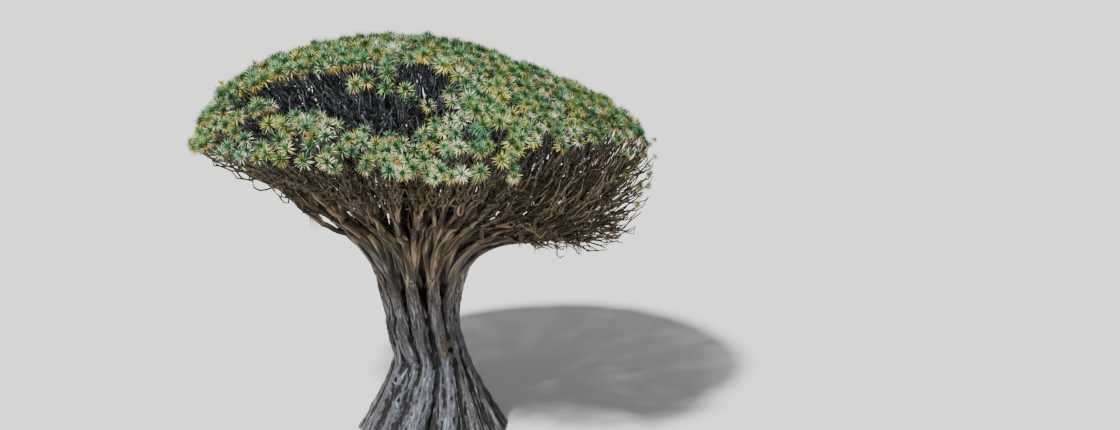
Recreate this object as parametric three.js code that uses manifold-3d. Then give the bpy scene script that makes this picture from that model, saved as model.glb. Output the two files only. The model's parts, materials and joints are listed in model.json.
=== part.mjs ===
// An old dragon blood tree, whole: a fluted trunk with a wide foot, nineteen boughs that leave
// its top as one bundle, and an umbrella crown of nineteen masses of twigs and leaf rosettes.
// Millimetres, +Z up. The origin is on the ground, in the middle of the flat cut under the trunk.
// +X is the crown's bare side, and -Y is the side with the lower step in the foliage.
import * as THREE from "three";
import { mergeVertices } from "three/addons/utils/BufferGeometryUtils.js";
import Module from "manifold-3d";

const wasm = await Module();
wasm.setup();

// Driving dimensions
const treeHeight = 18000;
const crownReach = 9950; // from the crown's middle to its furthest tips
const crownX = -200; // the crown's middle, seen from the middle of the foot
const trunkLean = -390; // how far the trunk's top stands from the middle of its foot, along X
const trunkTop = 7000;
const footRadius = 3400;
const waistRadius = 1600;
const footHeight = 3800; // where the flare of the foot ends
const gap = 0.3; // between solids that meet face to face

// Directions round the crown, in degrees from +X towards +Y
const bareSide = { middle: -14, half: 54, fade: 14 };
const lowSide = { middle: 240, half: 36, fade: 16 };

// Foliage
const canopyTips = 196;
const leafLength = 950;
const heartRadius = 250; // the solid middle of a rosette, which its leaves stand out of
const leastApart = 700; // between the twig ends of one mass
const goldenAngle = Math.PI * (3 - Math.sqrt(5));
const domeAngle = THREE.MathUtils.degToRad(80);

const bark = new THREE.MeshStandardMaterial({ color: 0x7d6f63, roughness: 0.95, metalness: 0 });
const limbBark = new THREE.MeshStandardMaterial({ color: 0x74604a, roughness: 0.9, metalness: 0 });
const foliage = new THREE.MeshStandardMaterial({ color: 0x5f8a5e, roughness: 0.6, metalness: 0 });

const { degToRad, lerp, smoothstep } = THREE.MathUtils;

// Numbers between 0 and 1 that are the same on every run.
function seeded(seed) {
  let state = seed;
  return () => {
    state = (state * 16807) % 2147483647;
    return state / 2147483647;
  };
}

// How far a direction lies inside a side of the crown: 1 well inside, 0 outside.
function within(side, azimuth) {
  const turn = THREE.MathUtils.euclideanModulo(azimuth - degToRad(side.middle) + Math.PI, 2 * Math.PI);
  const away = THREE.MathUtils.radToDeg(Math.abs(turn - Math.PI));
  return 1 - smoothstep(away, side.half - side.fade, side.half + side.fade);
}

function around(radius, azimuth, height, middleX) {
  return new THREE.Vector3(
    middleX + radius * Math.cos(azimuth),
    radius * Math.sin(azimuth),
    height,
  );
}

// The crown's outline

const rimHeight = 13250;
const rimTilt = 450; // the rim is this much lower on the bare side, and higher across from it
const shoulder = { power: 3, root: 0.55 }; // a full dome on the leafy side
const slope = { power: 1.25, root: 0.57 }; // and a slim one on the bare side
const stepShare = 0.44; // where the foliage steps down on the low side, as a share of the radius
const stepTop = 14750;
const stepFoot = 13150;

function rimRadius(azimuth) {
  return crownReach * (1 + 0.014 * Math.cos(5 * azimuth + 1) + 0.012 * Math.cos(3 * azimuth));
}

function canopyHeight(share, azimuth, top) {
  const rim = rimHeight - rimTilt * Math.cos(azimuth);
  const slim = (1 + Math.cos(azimuth)) / 2;
  const power = lerp(shoulder.power, slope.power, slim);
  const root = lerp(shoulder.root, slope.root, slim);
  const dome = rim + (top - rim) * (1 - share ** power) ** root;
  if (share < stepShare) return dome;
  const fall = ((share - stepShare) / (1 - stepShare)) ** 1.5;
  return lerp(dome, lerp(stepTop, stepFoot, fall), within(lowSide, azimuth));
}

// Where twigs end: evenly over the dome, set in by the reach of a rosette.
const leaflessBelow = 13900; // on the bare side
const topRoughness = 300;
const stepWidth = 0.05; // no twig ends on the step's face
const sideways = 0.12;

function canopyEnds(count, inset) {
  const random = seeded(71);
  const ends = [];
  for (let k = 0; k < count; k++) {
    const cosine = 1 - ((k + 0.5) / count) * (1 - Math.cos(domeAngle));
    const share = Math.sqrt(1 - cosine * cosine) / Math.sin(domeAngle);
    const azimuth = k * goldenAngle + (random() - 0.5) * sideways;
    const drop = random();
    const height = canopyHeight(share, azimuth, treeHeight - inset) - drop * topRoughness;
    const onStep = Math.abs(share - stepShare) < stepWidth && within(lowSide, azimuth) > 0.5;
    if (onStep) continue;
    const leafy = within(bareSide, azimuth) < 0.5 || height > leaflessBelow;
    ends.push({ place: around((rimRadius(azimuth) - inset) * share, azimuth, height, crownX), leafy });
  }
  return ends;
}

// The bare side bulges below the foliage: leafless twig ends on rows from the rim to the underside.
const bareLow = 9200;
const bareRise = 1600; // how fast its underside rises to either side
const bareHigh = 13500;
const bareTuck = 0.17; // how far its lowest ends stand in, as a share of the reach
const bareRows = 5;
const bareColumns = 9;

function bareEnds(rows, columns) {
  const random = seeded(137);
  const ends = [];
  for (let row = 0; row < rows; row++) {
    for (let column = 0; column < columns; column++) {
      const down = (row + 0.2 + 0.6 * random()) / rows;
      const across = ((column + 0.2 + 0.6 * random()) / columns) * 2 - 1;
      const azimuth = degToRad(bareSide.middle + across * bareSide.half);
      if (down > within(bareSide, azimuth)) continue;
      const radius = crownReach * (1.01 - bareTuck * down ** 3);
      const low = bareLow + bareRise * (1 - Math.cos(azimuth));
      ends.push({ place: around(radius, azimuth, lerp(bareHigh, low, down), crownX), leafy: false });
    }
  }
  return ends;
}

// Trunk

// The boughs stand in the trunk's top as rings of a bundle, and each carries one mass.
const rings = [
  { name: "crown", count: 1, turn: 0, start: 0, end: 200, share: 0.02, thick: 340, tip: 190 },
  { name: "inner", count: 6, turn: 8, start: 760, end: 2100, share: 0.37, thick: 350, tip: 200 },
  { name: "outer", count: 12, turn: 15, start: 1500, end: 3800, share: 0.78, thick: 385, tip: 215 },
];
const boughSides = 8;
const boughSteps = 5;
const stubFoot = 6300;
const boughFoot = 7450;

const trunkSides = 72;
const trunkLevels = 14;
const flareCurve = 1.3;
const spreadFrom = 6000; // above this height the trunk widens into its boughs
const topSpread = 150;

// Each outer bough runs on down the trunk as a column, in the order of the boughs. Its direction in
// degrees at the ground and at the waist, how far it stands out there, and its half width in degrees.
const waist = 4400;
const columns = [
  { ground: 10, waist: 17, lobe: 300, rib: 150, half: 10 },
  { ground: 40, waist: 50, lobe: 340, rib: 150, half: 9 },
  { ground: 79, waist: 73, lobe: 300, rib: 170, half: 10 },
  { ground: 101, waist: 108, lobe: 360, rib: 140, half: 9 },
  { ground: 139, waist: 131, lobe: 300, rib: 160, half: 10 },
  { ground: 163, waist: 170, lobe: 340, rib: 210, half: 9 },
  { ground: 202, waist: 207, lobe: 300, rib: 260, half: 9 },
  { ground: 221, waist: 232, lobe: 260, rib: 160, half: 8 },
  { ground: 247, waist: 265, lobe: 440, rib: 210, half: 10 },
  { ground: 282, waist: 299, lobe: 440, rib: 210, half: 9 },
  { ground: 310, waist: 320, lobe: 260, rib: 150, half: 8 },
  { ground: 340, waist: 346, lobe: 300, rib: 190, half: 9 },
];

// Hollows between the columns: direction and half width in degrees, lowest and highest place, depth.
const hollowFade = 500;
const hollows = [
  { at: 248, low: 3100, high: 6800, half: 6, deep: 360 },
  { at: 282, low: 4500, high: 6800, half: 5, deep: 280 },
  { at: 267, low: 300, high: 2600, half: 5, deep: 300 },
  { at: 331, low: 3300, high: 5400, half: 5, deep: 320 },
  { at: 229, low: 2500, high: 3900, half: 8, deep: 240 },
  { at: 219, low: 4200, high: 6900, half: 4, deep: 200 },
  { at: 309, low: 5200, high: 7000, half: 4, deep: 200 },
  { at: 33, low: 3000, high: 6600, half: 8, deep: 300 },
  { at: 62, low: 4400, high: 7000, half: 5, deep: 240 },
  { at: 90, low: 2600, high: 5800, half: 7, deep: 280 },
  { at: 120, low: 4000, high: 7000, half: 6, deep: 260 },
  { at: 150, low: 2800, high: 6000, half: 8, deep: 300 },
  { at: 186, low: 3400, high: 6600, half: 6, deep: 260 },
  { at: 0, low: 3800, high: 6600, half: 6, deep: 220 },
];

// 1 in a direction, and down to 0 to either side of it.
function swelling(azimuth, degrees, half) {
  const turn = THREE.MathUtils.euclideanModulo(THREE.MathUtils.radToDeg(azimuth) - degrees + 180, 360);
  return Math.exp(-(((turn - 180) / half) ** 2));
}

function columnDirection(column, number, height) {
  const top = rings[2].turn + (360 / rings[2].count) * number;
  const low = lerp(column.ground, column.waist, smoothstep(height, 0, waist));
  return lerp(low, top, smoothstep(height, waist, trunkTop));
}

// Columns stand out of the trunk, and the hollows between them are sunk in.
const lobeSink = 150; // how far the wood between the columns lies in, at the ground
const ribSink = 60; // and at the waist

function trunkRelief(azimuth, height) {
  const up = smoothstep(height, 0, waist);
  let relief = -lerp(lobeSink, ribSink, up);
  columns.forEach((column, number) => {
    const direction = columnDirection(column, number, height);
    relief += lerp(column.lobe, column.rib, up) * swelling(azimuth, direction, column.half);
  });
  for (const { at, low, high, half, deep } of hollows) {
    const rise = smoothstep(height, low - hollowFade, low + hollowFade);
    const end = smoothstep(height, high - hollowFade, high + hollowFade);
    relief -= deep * rise * (1 - end) * swelling(azimuth, at, half);
  }
  return relief;
}

function trunkRadius(azimuth, height) {
  const flare = Math.max(0, 1 - height / footHeight) ** flareCurve;
  const spread = topSpread * (Math.max(0, height - spreadFrom) / (trunkTop - spreadFrom)) ** 2;
  return waistRadius + (footRadius - waistRadius) * flare + spread + trunkRelief(azimuth, height);
}

function trunkX(height) {
  return trunkLean * smoothstep(height, 3300, 5500);
}

function trunkBody() {
  const shape = new THREE.CylinderGeometry(1, 1, 1, trunkSides, trunkLevels);
  const place = shape.getAttribute("position");
  for (let i = 0; i < place.count; i++) {
    const height = (place.getY(i) + 0.5) * trunkTop;
    const azimuth = Math.atan2(-place.getZ(i), place.getX(i));
    const radius = trunkRadius(azimuth, height) * Math.hypot(place.getX(i), place.getZ(i));
    const at = around(radius, azimuth, height, trunkX(height));
    place.setXYZ(i, at.x, at.y, at.z);
  }
  return solid(shape);
}

// Solids

function solid(shape) {
  shape.deleteAttribute("normal");
  shape.deleteAttribute("uv");
  const merged = mergeVertices(shape, 1e-3);
  return new wasm.Manifold(
    new wasm.Mesh({
      numProp: 3,
      vertProperties: new Float32Array(merged.getAttribute("position").array),
      triVerts: new Uint32Array(merged.index.array),
    }),
  );
}

function shapeOf(manifold) {
  const { vertProperties, triVerts } = manifold.getMesh();
  const shape = new THREE.BufferGeometry();
  shape.setAttribute("position", new THREE.BufferAttribute(vertProperties, 3));
  return shape.setIndex(new THREE.BufferAttribute(triVerts, 1));
}

function named(name, shape, material) {
  const mesh = new THREE.Mesh(shape, material);
  mesh.name = name;
  return mesh;
}

// A tapering limb along part of a curve, from one share of its length to another.
function limb({ curve, from, to, thick, tip, sides, steps, across }) {
  const shape = new THREE.CylinderGeometry(1, 1, 1, sides, steps);
  const place = shape.getAttribute("position");
  const first = new THREE.Vector3();
  for (let i = 0; i < place.count; i++) {
    const share = lerp(from, to, place.getY(i) + 0.5);
    const along = curve.getTangentAt(share);
    first.copy(across).addScaledVector(along, -across.dot(along)).normalize();
    const second = new THREE.Vector3().crossVectors(first, along);
    const radius = lerp(thick, tip, share);
    const at = curve
      .getPointAt(share)
      .addScaledVector(first, radius * place.getX(i))
      .addScaledVector(second, radius * place.getZ(i));
    place.setXYZ(i, at.x, at.y, at.z);
  }
  return solid(shape);
}

// Boughs

const boughEnd = { middle: 11000, rim: 10050, sag: 1400 }; // heights, and how far the bare side sags
const boughBend = { middle: 9500, rim: 9000, sag: 100 };
const boughRise = 7600; // up to here a bough stands nearly upright
const endScatter = 300;
const swingScatter = 0.14;

function boughHeight({ middle, rim, sag }, ring, azimuth) {
  const low = within(bareSide, azimuth) * Math.cos(azimuth) ** 2 * ring.share;
  return lerp(middle, rim, ring.share / rings[2].share) - sag * low;
}

function boughs() {
  const random = seeded(29);
  const made = [];
  for (const ring of rings) {
    for (let k = 0; k < ring.count; k++) {
      const azimuth = degToRad(ring.turn + (360 / ring.count) * k);
      const swing = azimuth + (random() - 0.5) * swingScatter;
      const endHeight = boughHeight(boughEnd, ring, azimuth) + (random() - 0.5) * endScatter;
      const bendHeight = boughHeight(boughBend, ring, azimuth);
      const curve = new THREE.CubicBezierCurve3(
        around(ring.start * 0.86, azimuth, stubFoot, trunkLean),
        around(ring.start * 1.12, azimuth, boughRise, trunkLean),
        around(lerp(ring.start, ring.end, 0.3), azimuth, bendHeight, trunkLean),
        around(ring.end, swing, endHeight, crownX),
      );
      made.push({
        name: ring.name + (ring.count > 1 ? "_" + (k + 1) : ""),
        ring,
        azimuth: swing,
        curve,
        across: new THREE.Vector3(-Math.sin(azimuth), Math.cos(azimuth), 0),
        foot: shareAtHeight(curve, boughFoot),
        length: curve.getLength(),
      });
    }
  }
  return made;
}

function shareAtHeight(curve, height) {
  let share = 0;
  while (curve.getPointAt(share).z < height) share += 0.005;
  return share;
}

function boughSolid(bough, from, to, steps) {
  const { curve, across, ring } = bough;
  return limb({ curve, across, from, to, steps, thick: ring.thick, tip: ring.tip, sides: boughSides });
}

// Masses

const allBoughs = boughs();

// The middle of each mass. A mass keeps to the points that are nearer to its own middle.
const middleDepth = 1600; // below the top of the crown
const bareDepth = 1000; // and this much lower on the bare side

const middles = allBoughs.map(({ ring, azimuth }) => {
  const below = middleDepth + bareDepth * within(bareSide, azimuth) * ring.share;
  const height = canopyHeight(ring.share, azimuth, treeHeight) - below;
  return around(crownReach * ring.share, azimuth, height, crownX);
});

const leafSpace = 40; // least space round leaves

// How far a point lies inside the space of a mass, from the nearest wall of that space.
function room(point, mass) {
  let least = Infinity;
  middles.forEach((other, k) => {
    if (k === mass) return;
    const apart = other.distanceTo(middles[mass]);
    const nearer = point.distanceToSquared(other) - point.distanceToSquared(middles[mass]);
    least = Math.min(least, nearer / (2 * apart));
  });
  return least;
}

function nearestMass(point) {
  const distances = middles.map((middle) => middle.distanceTo(point));
  return distances.indexOf(Math.min(...distances));
}

// An end that stands on a wall between two masses is moved into its own mass.
function drawIn(point, mass) {
  for (let k = 0; k < 20 && room(point, mass) < heartRadius + leafSpace; k++) {
    point.lerp(middles[mass], 0.04);
  }
}

const boughLines = allBoughs.map(({ curve, ring }) => ({
  points: curve.getSpacedPoints(14),
  thick: ring.thick,
}));

// True where the line from one point to another keeps clear of every bough.
function clearOfBoughs(from, to) {
  const step = new THREE.Line3();
  const nearest = new THREE.Vector3();
  return [0, 0.35, 0.7, 1].every((share) => {
    const point = from.clone().lerp(to, share);
    return boughLines.every(({ points, thick }) =>
      points.slice(1).every((end, k) => {
        step.set(points[k], end).closestPointToPoint(point, true, nearest);
        return nearest.distanceTo(point) > thick + leafSpace;
      }),
    );
  });
}

function middleOf(ends) {
  return ends
    .reduce((sum, end) => sum.add(end.place), new THREE.Vector3())
    .divideScalar(ends.length);
}

function squareTo(along, across) {
  return across.clone().addScaledVector(along, -across.dot(along)).normalize();
}

// The angle that turns one direction to another round an axis.
function angleRound(axis, from, to) {
  const [first, second] = [squareTo(axis, from), squareTo(axis, to)];
  return Math.atan2(new THREE.Vector3().crossVectors(first, second).dot(axis), first.dot(second));
}

// Cuts a group of ends in two, across the direction in which it looks widest from a fork.
function halves(ends, fork) {
  const way = middleOf(ends).sub(fork).normalize();
  const right = squareTo(way, new THREE.Vector3(way.z, way.x, way.y));
  const up = new THREE.Vector3().crossVectors(way, right);
  const seen = ends.map((end) => {
    const view = end.place.clone().sub(fork);
    const depth = Math.max(view.dot(way), 0.3 * view.length());
    return { end, x: view.dot(right) / depth, y: view.dot(up) / depth };
  });
  const mean = (value) => seen.reduce((sum, item) => sum + value(item), 0) / seen.length;
  const [x, y] = [mean((item) => item.x), mean((item) => item.y)];
  const wide = mean((item) => (item.x - x) ** 2 - (item.y - y) ** 2);
  const slant = mean((item) => (item.x - x) * (item.y - y));
  const angle = Math.atan2(2 * slant, wide) / 2;
  const across = (item) => item.x * Math.cos(angle) + item.y * Math.sin(angle);
  const sorted = seen.sort((a, b) => across(a) - across(b)).map((item) => item.end);
  const half = Math.floor(sorted.length / 2);
  return [sorted.slice(0, half), sorted.slice(half)];
}

// The growing rule: a twig with several ends to reach forks on the way, and rises late.
const forkDelay = 1.25;
const lateRise = 1.3;
const wander = 0.16;

function forkPlace(base, group, random) {
  const share = 1 / (Math.log2(group.length) + forkDelay);
  const way = middleOf(group).sub(base);
  const length = way.length() * share;
  return new THREE.Vector3(
    base.x + way.x * share + (random() - 0.5) * wander * length,
    base.y + way.y * share + (random() - 0.5) * wander * length,
    base.z + way.z * share ** lateRise + (random() - 0.5) * wander * length,
  );
}

// A twig and all that it carries: { from, to, ends, branches }.
function grow(from, to, ends, random) {
  if (ends.length === 1) return { from, to: ends[0].place, ends, branches: [] };
  const branches = halves(ends, to).map((group) => {
    const next = group.length === 1 ? group[0].place : forkPlace(to, group, random);
    return grow(to, next, group, random);
  });
  return { from, to, ends, branches };
}

function allTwigs(twig) {
  return [twig, ...twig.branches.flatMap(allTwigs)];
}

function direction(twig) {
  return twig.to.clone().sub(twig.from).normalize();
}

// One closed skin is drawn over a mass. Its rings are three corners each, counted anticlockwise
// as seen from the side that the twig grows to.
class Skin {
  corners = [];
  faces = [];

  corner(place) {
    return this.corners.push(place) - 1;
  }

  ring(middle, along, across, radius, turn) {
    const first = squareTo(along, across);
    const second = new THREE.Vector3().crossVectors(along, first);
    return [0, 1, 2].map((k) => {
      const angle = degToRad(turn + 120 * k);
      const place = middle.clone().addScaledVector(first, radius * Math.cos(angle));
      return this.corner(place.addScaledVector(second, radius * Math.sin(angle)));
    });
  }

  middle(ring) {
    return ring.reduce((sum, i) => sum.add(this.corners[i]), new THREE.Vector3()).divideScalar(ring.length);
  }

  apart(a, b) {
    return this.corners[a].distanceTo(this.corners[b]);
  }

  // Closes the sides between two rings, turned to where their corners lie nearest. All three sides
  // are cut along the same diagonal, so that they don't run through each other.
  bridge(from, to) {
    const stretch = (turn) => from.reduce((sum, a, k) => sum + this.apart(a, to[(k + turn) % 3]), 0);
    const turn = [0, 1, 2].reduce((best, next) => (stretch(next) < stretch(best) ? next : best));
    const rising = stretch(turn + 1) < stretch(turn + 2);
    for (let k = 0; k < 3; k++) {
      const [a, b] = [from[k], from[(k + 1) % 3]];
      const [c, d] = [to[(k + turn) % 3], to[(k + 1 + turn) % 3]];
      if (rising) this.faces.push([a, b, d], [a, d, c]);
      else this.faces.push([a, b, c], [b, d, c]);
    }
  }

  cone(ring, tip) {
    const top = this.corner(tip);
    ring.forEach((a, k) => this.faces.push([a, ring[(k + 1) % 3], top]));
  }

  shape() {
    const shape = new THREE.BufferGeometry().setFromPoints(this.corners);
    return shape.setIndex(this.faces.flat());
  }
}

// The twigs of a mass share out the section of its stem by the ends that they carry.
function twigRadius(mass, count) {
  return mass.thick * Math.sqrt(count / mass.ends.length);
}

// Draws a twig from a ring at its foot. At a fork the ring gets a roof whose ridge lies between
// the two branches, and each of them grows from the face on its side.
const ridgeRise = 1.5;
const ridgeReach = 0.42;
const mitre = 0.5; // how far a ring is turned back towards the twig that it ends

function drawTwig(skin, foot, twig, mass) {
  const [end] = twig.ends;
  if (!twig.branches.length) {
    if (end.leafy) drawRosette(skin, foot, twig, mass);
    else skin.cone(foot, end.place);
    return;
  }
  const [first, second] = twig.branches;
  const ahead = direction(first).add(direction(second));
  const between = ahead.addScaledVector(direction(twig), mitre).normalize();
  const splay = squareTo(between, direction(first).sub(direction(second)));
  const ridge = new THREE.Vector3().crossVectors(between, splay);
  const thick = twigRadius(mass, twig.ends.length);
  const ring = skin.ring(twig.to, between, splay, thick, -30);
  skin.bridge(foot, ring);
  const peak = twig.to.clone().addScaledVector(between, ridgeRise * thick);
  const top = skin.corner(peak.addScaledVector(ridge, -ridgeReach * thick));
  drawTwig(skin, [ring[0], ring[1], top], first, mass);
  drawTwig(skin, [ring[1], ring[2], top], second, mass);
  skin.faces.push([ring[2], ring[0], top]);
}

// A rosette: the faces of a small solid are drawn out to leaves, all but those at its foot.
const upturn = 0.35; // how far a rosette turns up from the way of its twig
const backward = -0.6; // no leaf points back more than this along its twig
const leafDroop = 0.14;

function drawRosette(skin, foot, twig, mass) {
  const middle = twig.to;
  const along = direction(twig).lerp(new THREE.Vector3(0, 0, 1), upturn).normalize();
  const heart = new THREE.IcosahedronGeometry(heartRadius, 0);
  heart.deleteAttribute("normal");
  heart.deleteAttribute("uv");
  const whole = mergeVertices(heart);
  const places = whole.getAttribute("position");
  const at = (i) => new THREE.Vector3().fromBufferAttribute(places, i);
  const faces = Array.from({ length: 20 }, (_, k) => [0, 1, 2].map((j) => whole.index.getX(3 * k + j)));
  const outOf = (face) => face.reduce((sum, i) => sum.add(at(i)), new THREE.Vector3()).normalize();
  const turn = new THREE.Quaternion().setFromUnitVectors(outOf(faces[0]), along.clone().negate());
  const footCorner = skin.corners[foot[0]].clone().sub(skin.middle(foot));
  const spin = angleRound(along, at(faces[0][0]).applyQuaternion(turn), footCorner);
  turn.premultiply(new THREE.Quaternion().setFromAxisAngle(along, spin));
  const place = (i) => at(i).applyQuaternion(turn).add(middle);
  const corners = Array.from({ length: 12 }, (_, i) => skin.corner(place(i)));
  const backFace = faces[0].map((i) => corners[i]).reverse();
  skin.bridge(foot, backFace);
  for (const face of faces.slice(1)) {
    const out = outOf(face).applyQuaternion(turn);
    const root = face.map((i) => corners[i]);
    const length = leafLength * (0.85 + 0.3 * mass.random());
    const tip = out.dot(along) < backward ? null : leafTip(middle, out, length, mass);
    if (tip) skin.cone(root, tip);
    else skin.faces.push(root);
  }
}

// Where a leaf ends: shorter where the space is tight, and nowhere where there is no room.
function leafTip(from, out, length, mass) {
  for (const share of [1, 0.8, 0.6]) {
    const tip = from.clone().addScaledVector(out, length * share);
    tip.z -= length * share * leafDroop * (1 - Math.max(0, out.z));
    const alone = mass.ends.every(({ place }) => place.distanceTo(tip) > from.distanceTo(tip) - 1);
    if (!alone || room(tip, mass.number) < leafSpace) continue;
    if (clearOfBoughs(from, tip) && clearOfTwigs(from, tip, mass)) return tip;
  }
  return null;
}

function clearOfTwigs(from, tip, mass) {
  const line = new THREE.Line3();
  const nearest = new THREE.Vector3();
  return mass.twigs.every((twig) => {
    if (twig.to === from) return true;
    line.set(twig.from, twig.to);
    const thick = twigRadius(mass, twig.ends.length);
    return [0.3, 0.45, 0.6, 0.8, 1].every((share) => {
      const point = from.clone().lerp(tip, share);
      line.closestPointToPoint(point, true, nearest);
      const leaf = heartRadius * 0.6 * (1 - share);
      return nearest.distanceTo(point) > thick + leaf + leafSpace;
    });
  });
}

const stemLength = 620;

function massShape(bough, number, ends) {
  const random = seeded(487 + number * 17);
  const along = bough.curve.getTangentAt(1);
  const start = bough.curve.getPointAt(1).addScaledVector(along, gap);
  const stem = grow(start, start.clone().addScaledVector(along, stemLength), ends, random);
  const mass = { number, ends, random, twigs: allTwigs(stem), thick: bough.ring.tip * 0.92 };
  const skin = new Skin();
  const foot = skin.ring(start, along, bough.across, mass.thick, 90);
  skin.faces.push([...foot].reverse());
  drawTwig(skin, foot, stem, mass);
  return skin.shape();
}

// The tree

function tree() {
  const group = new THREE.Group();
  const stubs = allBoughs.map((bough) => boughSolid(bough, 0, bough.foot, 1));
  group.add(named("trunk", shapeOf(wasm.Manifold.union([trunkBody(), ...stubs])), bark));

  const ends = allBoughs.map(() => []);
  for (const end of [...canopyEnds(canopyTips, leafLength), ...bareEnds(bareRows, bareColumns)]) {
    const mass = nearestMass(end.place);
    drawIn(end.place, mass);
    const alone = ends[mass].every(({ place }) => place.distanceTo(end.place) > leastApart);
    if (alone) ends[mass].push(end);
  }
  allBoughs.forEach((bough, mass) => {
    const foot = bough.foot + gap / bough.length;
    const limbShape = shapeOf(boughSolid(bough, foot, 1, boughSteps));
    group.add(named("bough_" + bough.name, limbShape, limbBark));
    group.add(named("foliage_" + bough.name, massShape(bough, mass, ends[mass]), foliage));
  });
  return group;
}

export default tree();
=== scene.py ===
"""An old dragon blood tree: fluted bark, a bundle of boughs, and an umbrella crown of leaf rosettes.

Metres, +Z up, with the origin on the ground in the middle of the foot. +X is the crown's bare side.
"""

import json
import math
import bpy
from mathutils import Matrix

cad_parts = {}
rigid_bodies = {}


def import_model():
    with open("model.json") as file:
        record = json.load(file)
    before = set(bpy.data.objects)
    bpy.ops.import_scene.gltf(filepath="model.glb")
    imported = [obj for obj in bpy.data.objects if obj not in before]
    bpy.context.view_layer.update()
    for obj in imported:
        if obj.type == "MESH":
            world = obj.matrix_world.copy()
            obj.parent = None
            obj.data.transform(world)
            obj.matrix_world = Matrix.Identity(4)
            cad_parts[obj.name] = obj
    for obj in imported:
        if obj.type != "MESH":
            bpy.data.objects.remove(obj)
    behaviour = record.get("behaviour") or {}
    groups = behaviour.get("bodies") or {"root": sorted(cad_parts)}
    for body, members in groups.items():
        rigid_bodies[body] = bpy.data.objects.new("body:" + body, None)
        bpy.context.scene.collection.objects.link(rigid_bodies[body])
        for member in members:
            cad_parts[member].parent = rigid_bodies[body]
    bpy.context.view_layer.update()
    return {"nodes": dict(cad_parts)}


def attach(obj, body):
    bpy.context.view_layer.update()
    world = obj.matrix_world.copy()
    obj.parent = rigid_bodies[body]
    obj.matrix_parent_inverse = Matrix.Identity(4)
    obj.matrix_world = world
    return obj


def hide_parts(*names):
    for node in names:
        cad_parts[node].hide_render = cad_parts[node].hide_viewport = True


bl_info = {
    "name": "Dragon Blood Tree",
    "version": (1, 0, 0),
    "blender": (4, 5, 0),
    "location": "3D View > Sidebar > Dragon Tree",
    "description": "Grows bark, twigs, leaf rosettes, fruit and hanging roots over the tree's solids",
    "category": "Add Mesh",
}

import bpy
import numpy as np
from bpy.props import FloatProperty, FloatVectorProperty, IntProperty, PointerProperty
from mathutils import Vector
from mathutils.kdtree import KDTree

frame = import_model()
BOUGH_NODES = sorted(name for name in frame["nodes"] if name.startswith("bough_"))
MASS_NODES = sorted(name for name in frame["nodes"] if name.startswith("foliage_"))
SEEDS = {
    "canopy": 71, "bare": 137, "shade": 211, "boughs": 29, "masses": 487, "border": 19, "twigs": 11,
    "limbs": 13, "rosettes": 5, "leaves": 17, "dry": 29, "fruit": 41, "bark": 3, "roots": 23,
}
FULL_TURN = 2 * math.pi
GOLDEN_ANGLE = math.pi * (3 - math.sqrt(5))

# The trunk's sizes, the same as in the solids
CROWN_X = -0.2
TRUNK_LEAN = -0.39
LEAN_HEIGHTS = (3.3, 5.5)
FOOT_RADIUS = 3.4
WAIST_RADIUS = 1.6
FOOT_HEIGHT = 3.8
FLARE_CURVE = 1.3
SPREAD_FROM = 6.0
TOP_SPREAD = 0.15
FORK_HEIGHT = 7.0
WAIST = 4.4
LOBE_SINK = 0.15
RIB_SINK = 0.06
HOLLOW_FADE = 0.5

# The crown's outline, close to that of the solids. Sides are directions in degrees
TREE_HEIGHT = 18.0
CROWN_REACH = 9.95
BARE_SIDE = {"middle": -14, "half": 54, "fade": 14}
LOW_SIDE = {"middle": 240, "half": 37, "fade": 9}
DOME_ANGLE = math.radians(80)
RIM_HEIGHT = 13.25
RIM_TILT = 0.45
RIM_WAVES = (0.014, 0.012)
# The dome's curve on the leaning side and on the bare side: power, root and width
SHOULDER = (2.75, 0.55, 1.03)
SLOPE = (1.25, 0.57, 1.0)
# The step down to the lower canopy in front
STEP_SHARE = 0.51
STEP_TOP = 14.75
STEP_RISE = 0.85
STEP_RISES = (0.2, 0.44)
STEP_EDGE = 0.05
STEP_FALL = 1.5
STEP_FOOT = 13.15
STEP_WIDTH = 0.07
FRONT_DIP = 0.9
# How likely rosettes stand on the step, by how far along +X, as a share of the reach
LONE_ROSETTES = ((-0.6, 0.75), (-0.42, 0.3), (-0.33, 0.25), (-0.26, 0.8), (0.1, 0.8))
OPEN_FRONT = 0.33
LEAFLESS_BELOW = 13.6
LEAFLESS_RISE = 0.9
TOP_ROUGHNESS = 0.3
ROSETTE_REACH = 1.2
TOP_LIFT = 0.26
END_JITTER = 0.12
# How far the rim's twigs end above or below the solids' rim, by direction in degrees
RIM_LIFT = ((0, 0.35), (60, 0.35), (100, 0.3), (150, -0.5), (180, -0.15), (205, 0.6), (240, 1.0),
            (270, 0.6), (285, 0.8), (320, 0.4), (360, 0.35))
# The underside: its height in the middle and at the rim, and its curve
UNDERSIDE = (8.9, 13.1, 1.7)
BARE_LOW = 9.4
BARE_HIGH = 13.5
BARE_RISE = 1.6
BARE_TUCK = 0.1
BARE_SCATTER = 0.3
BARE_OUTMOST = 1.01
# Ends in the shade: how they crowd outwards and how far out they go, and their gap to floor and roof
SHADE_SPREAD = (0.62, 0.93)
SHADE_FLOOR = (0.8, 0.3)
SHADE_ROOF = 1.1
SHADE_SHARE = 0.6

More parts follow.
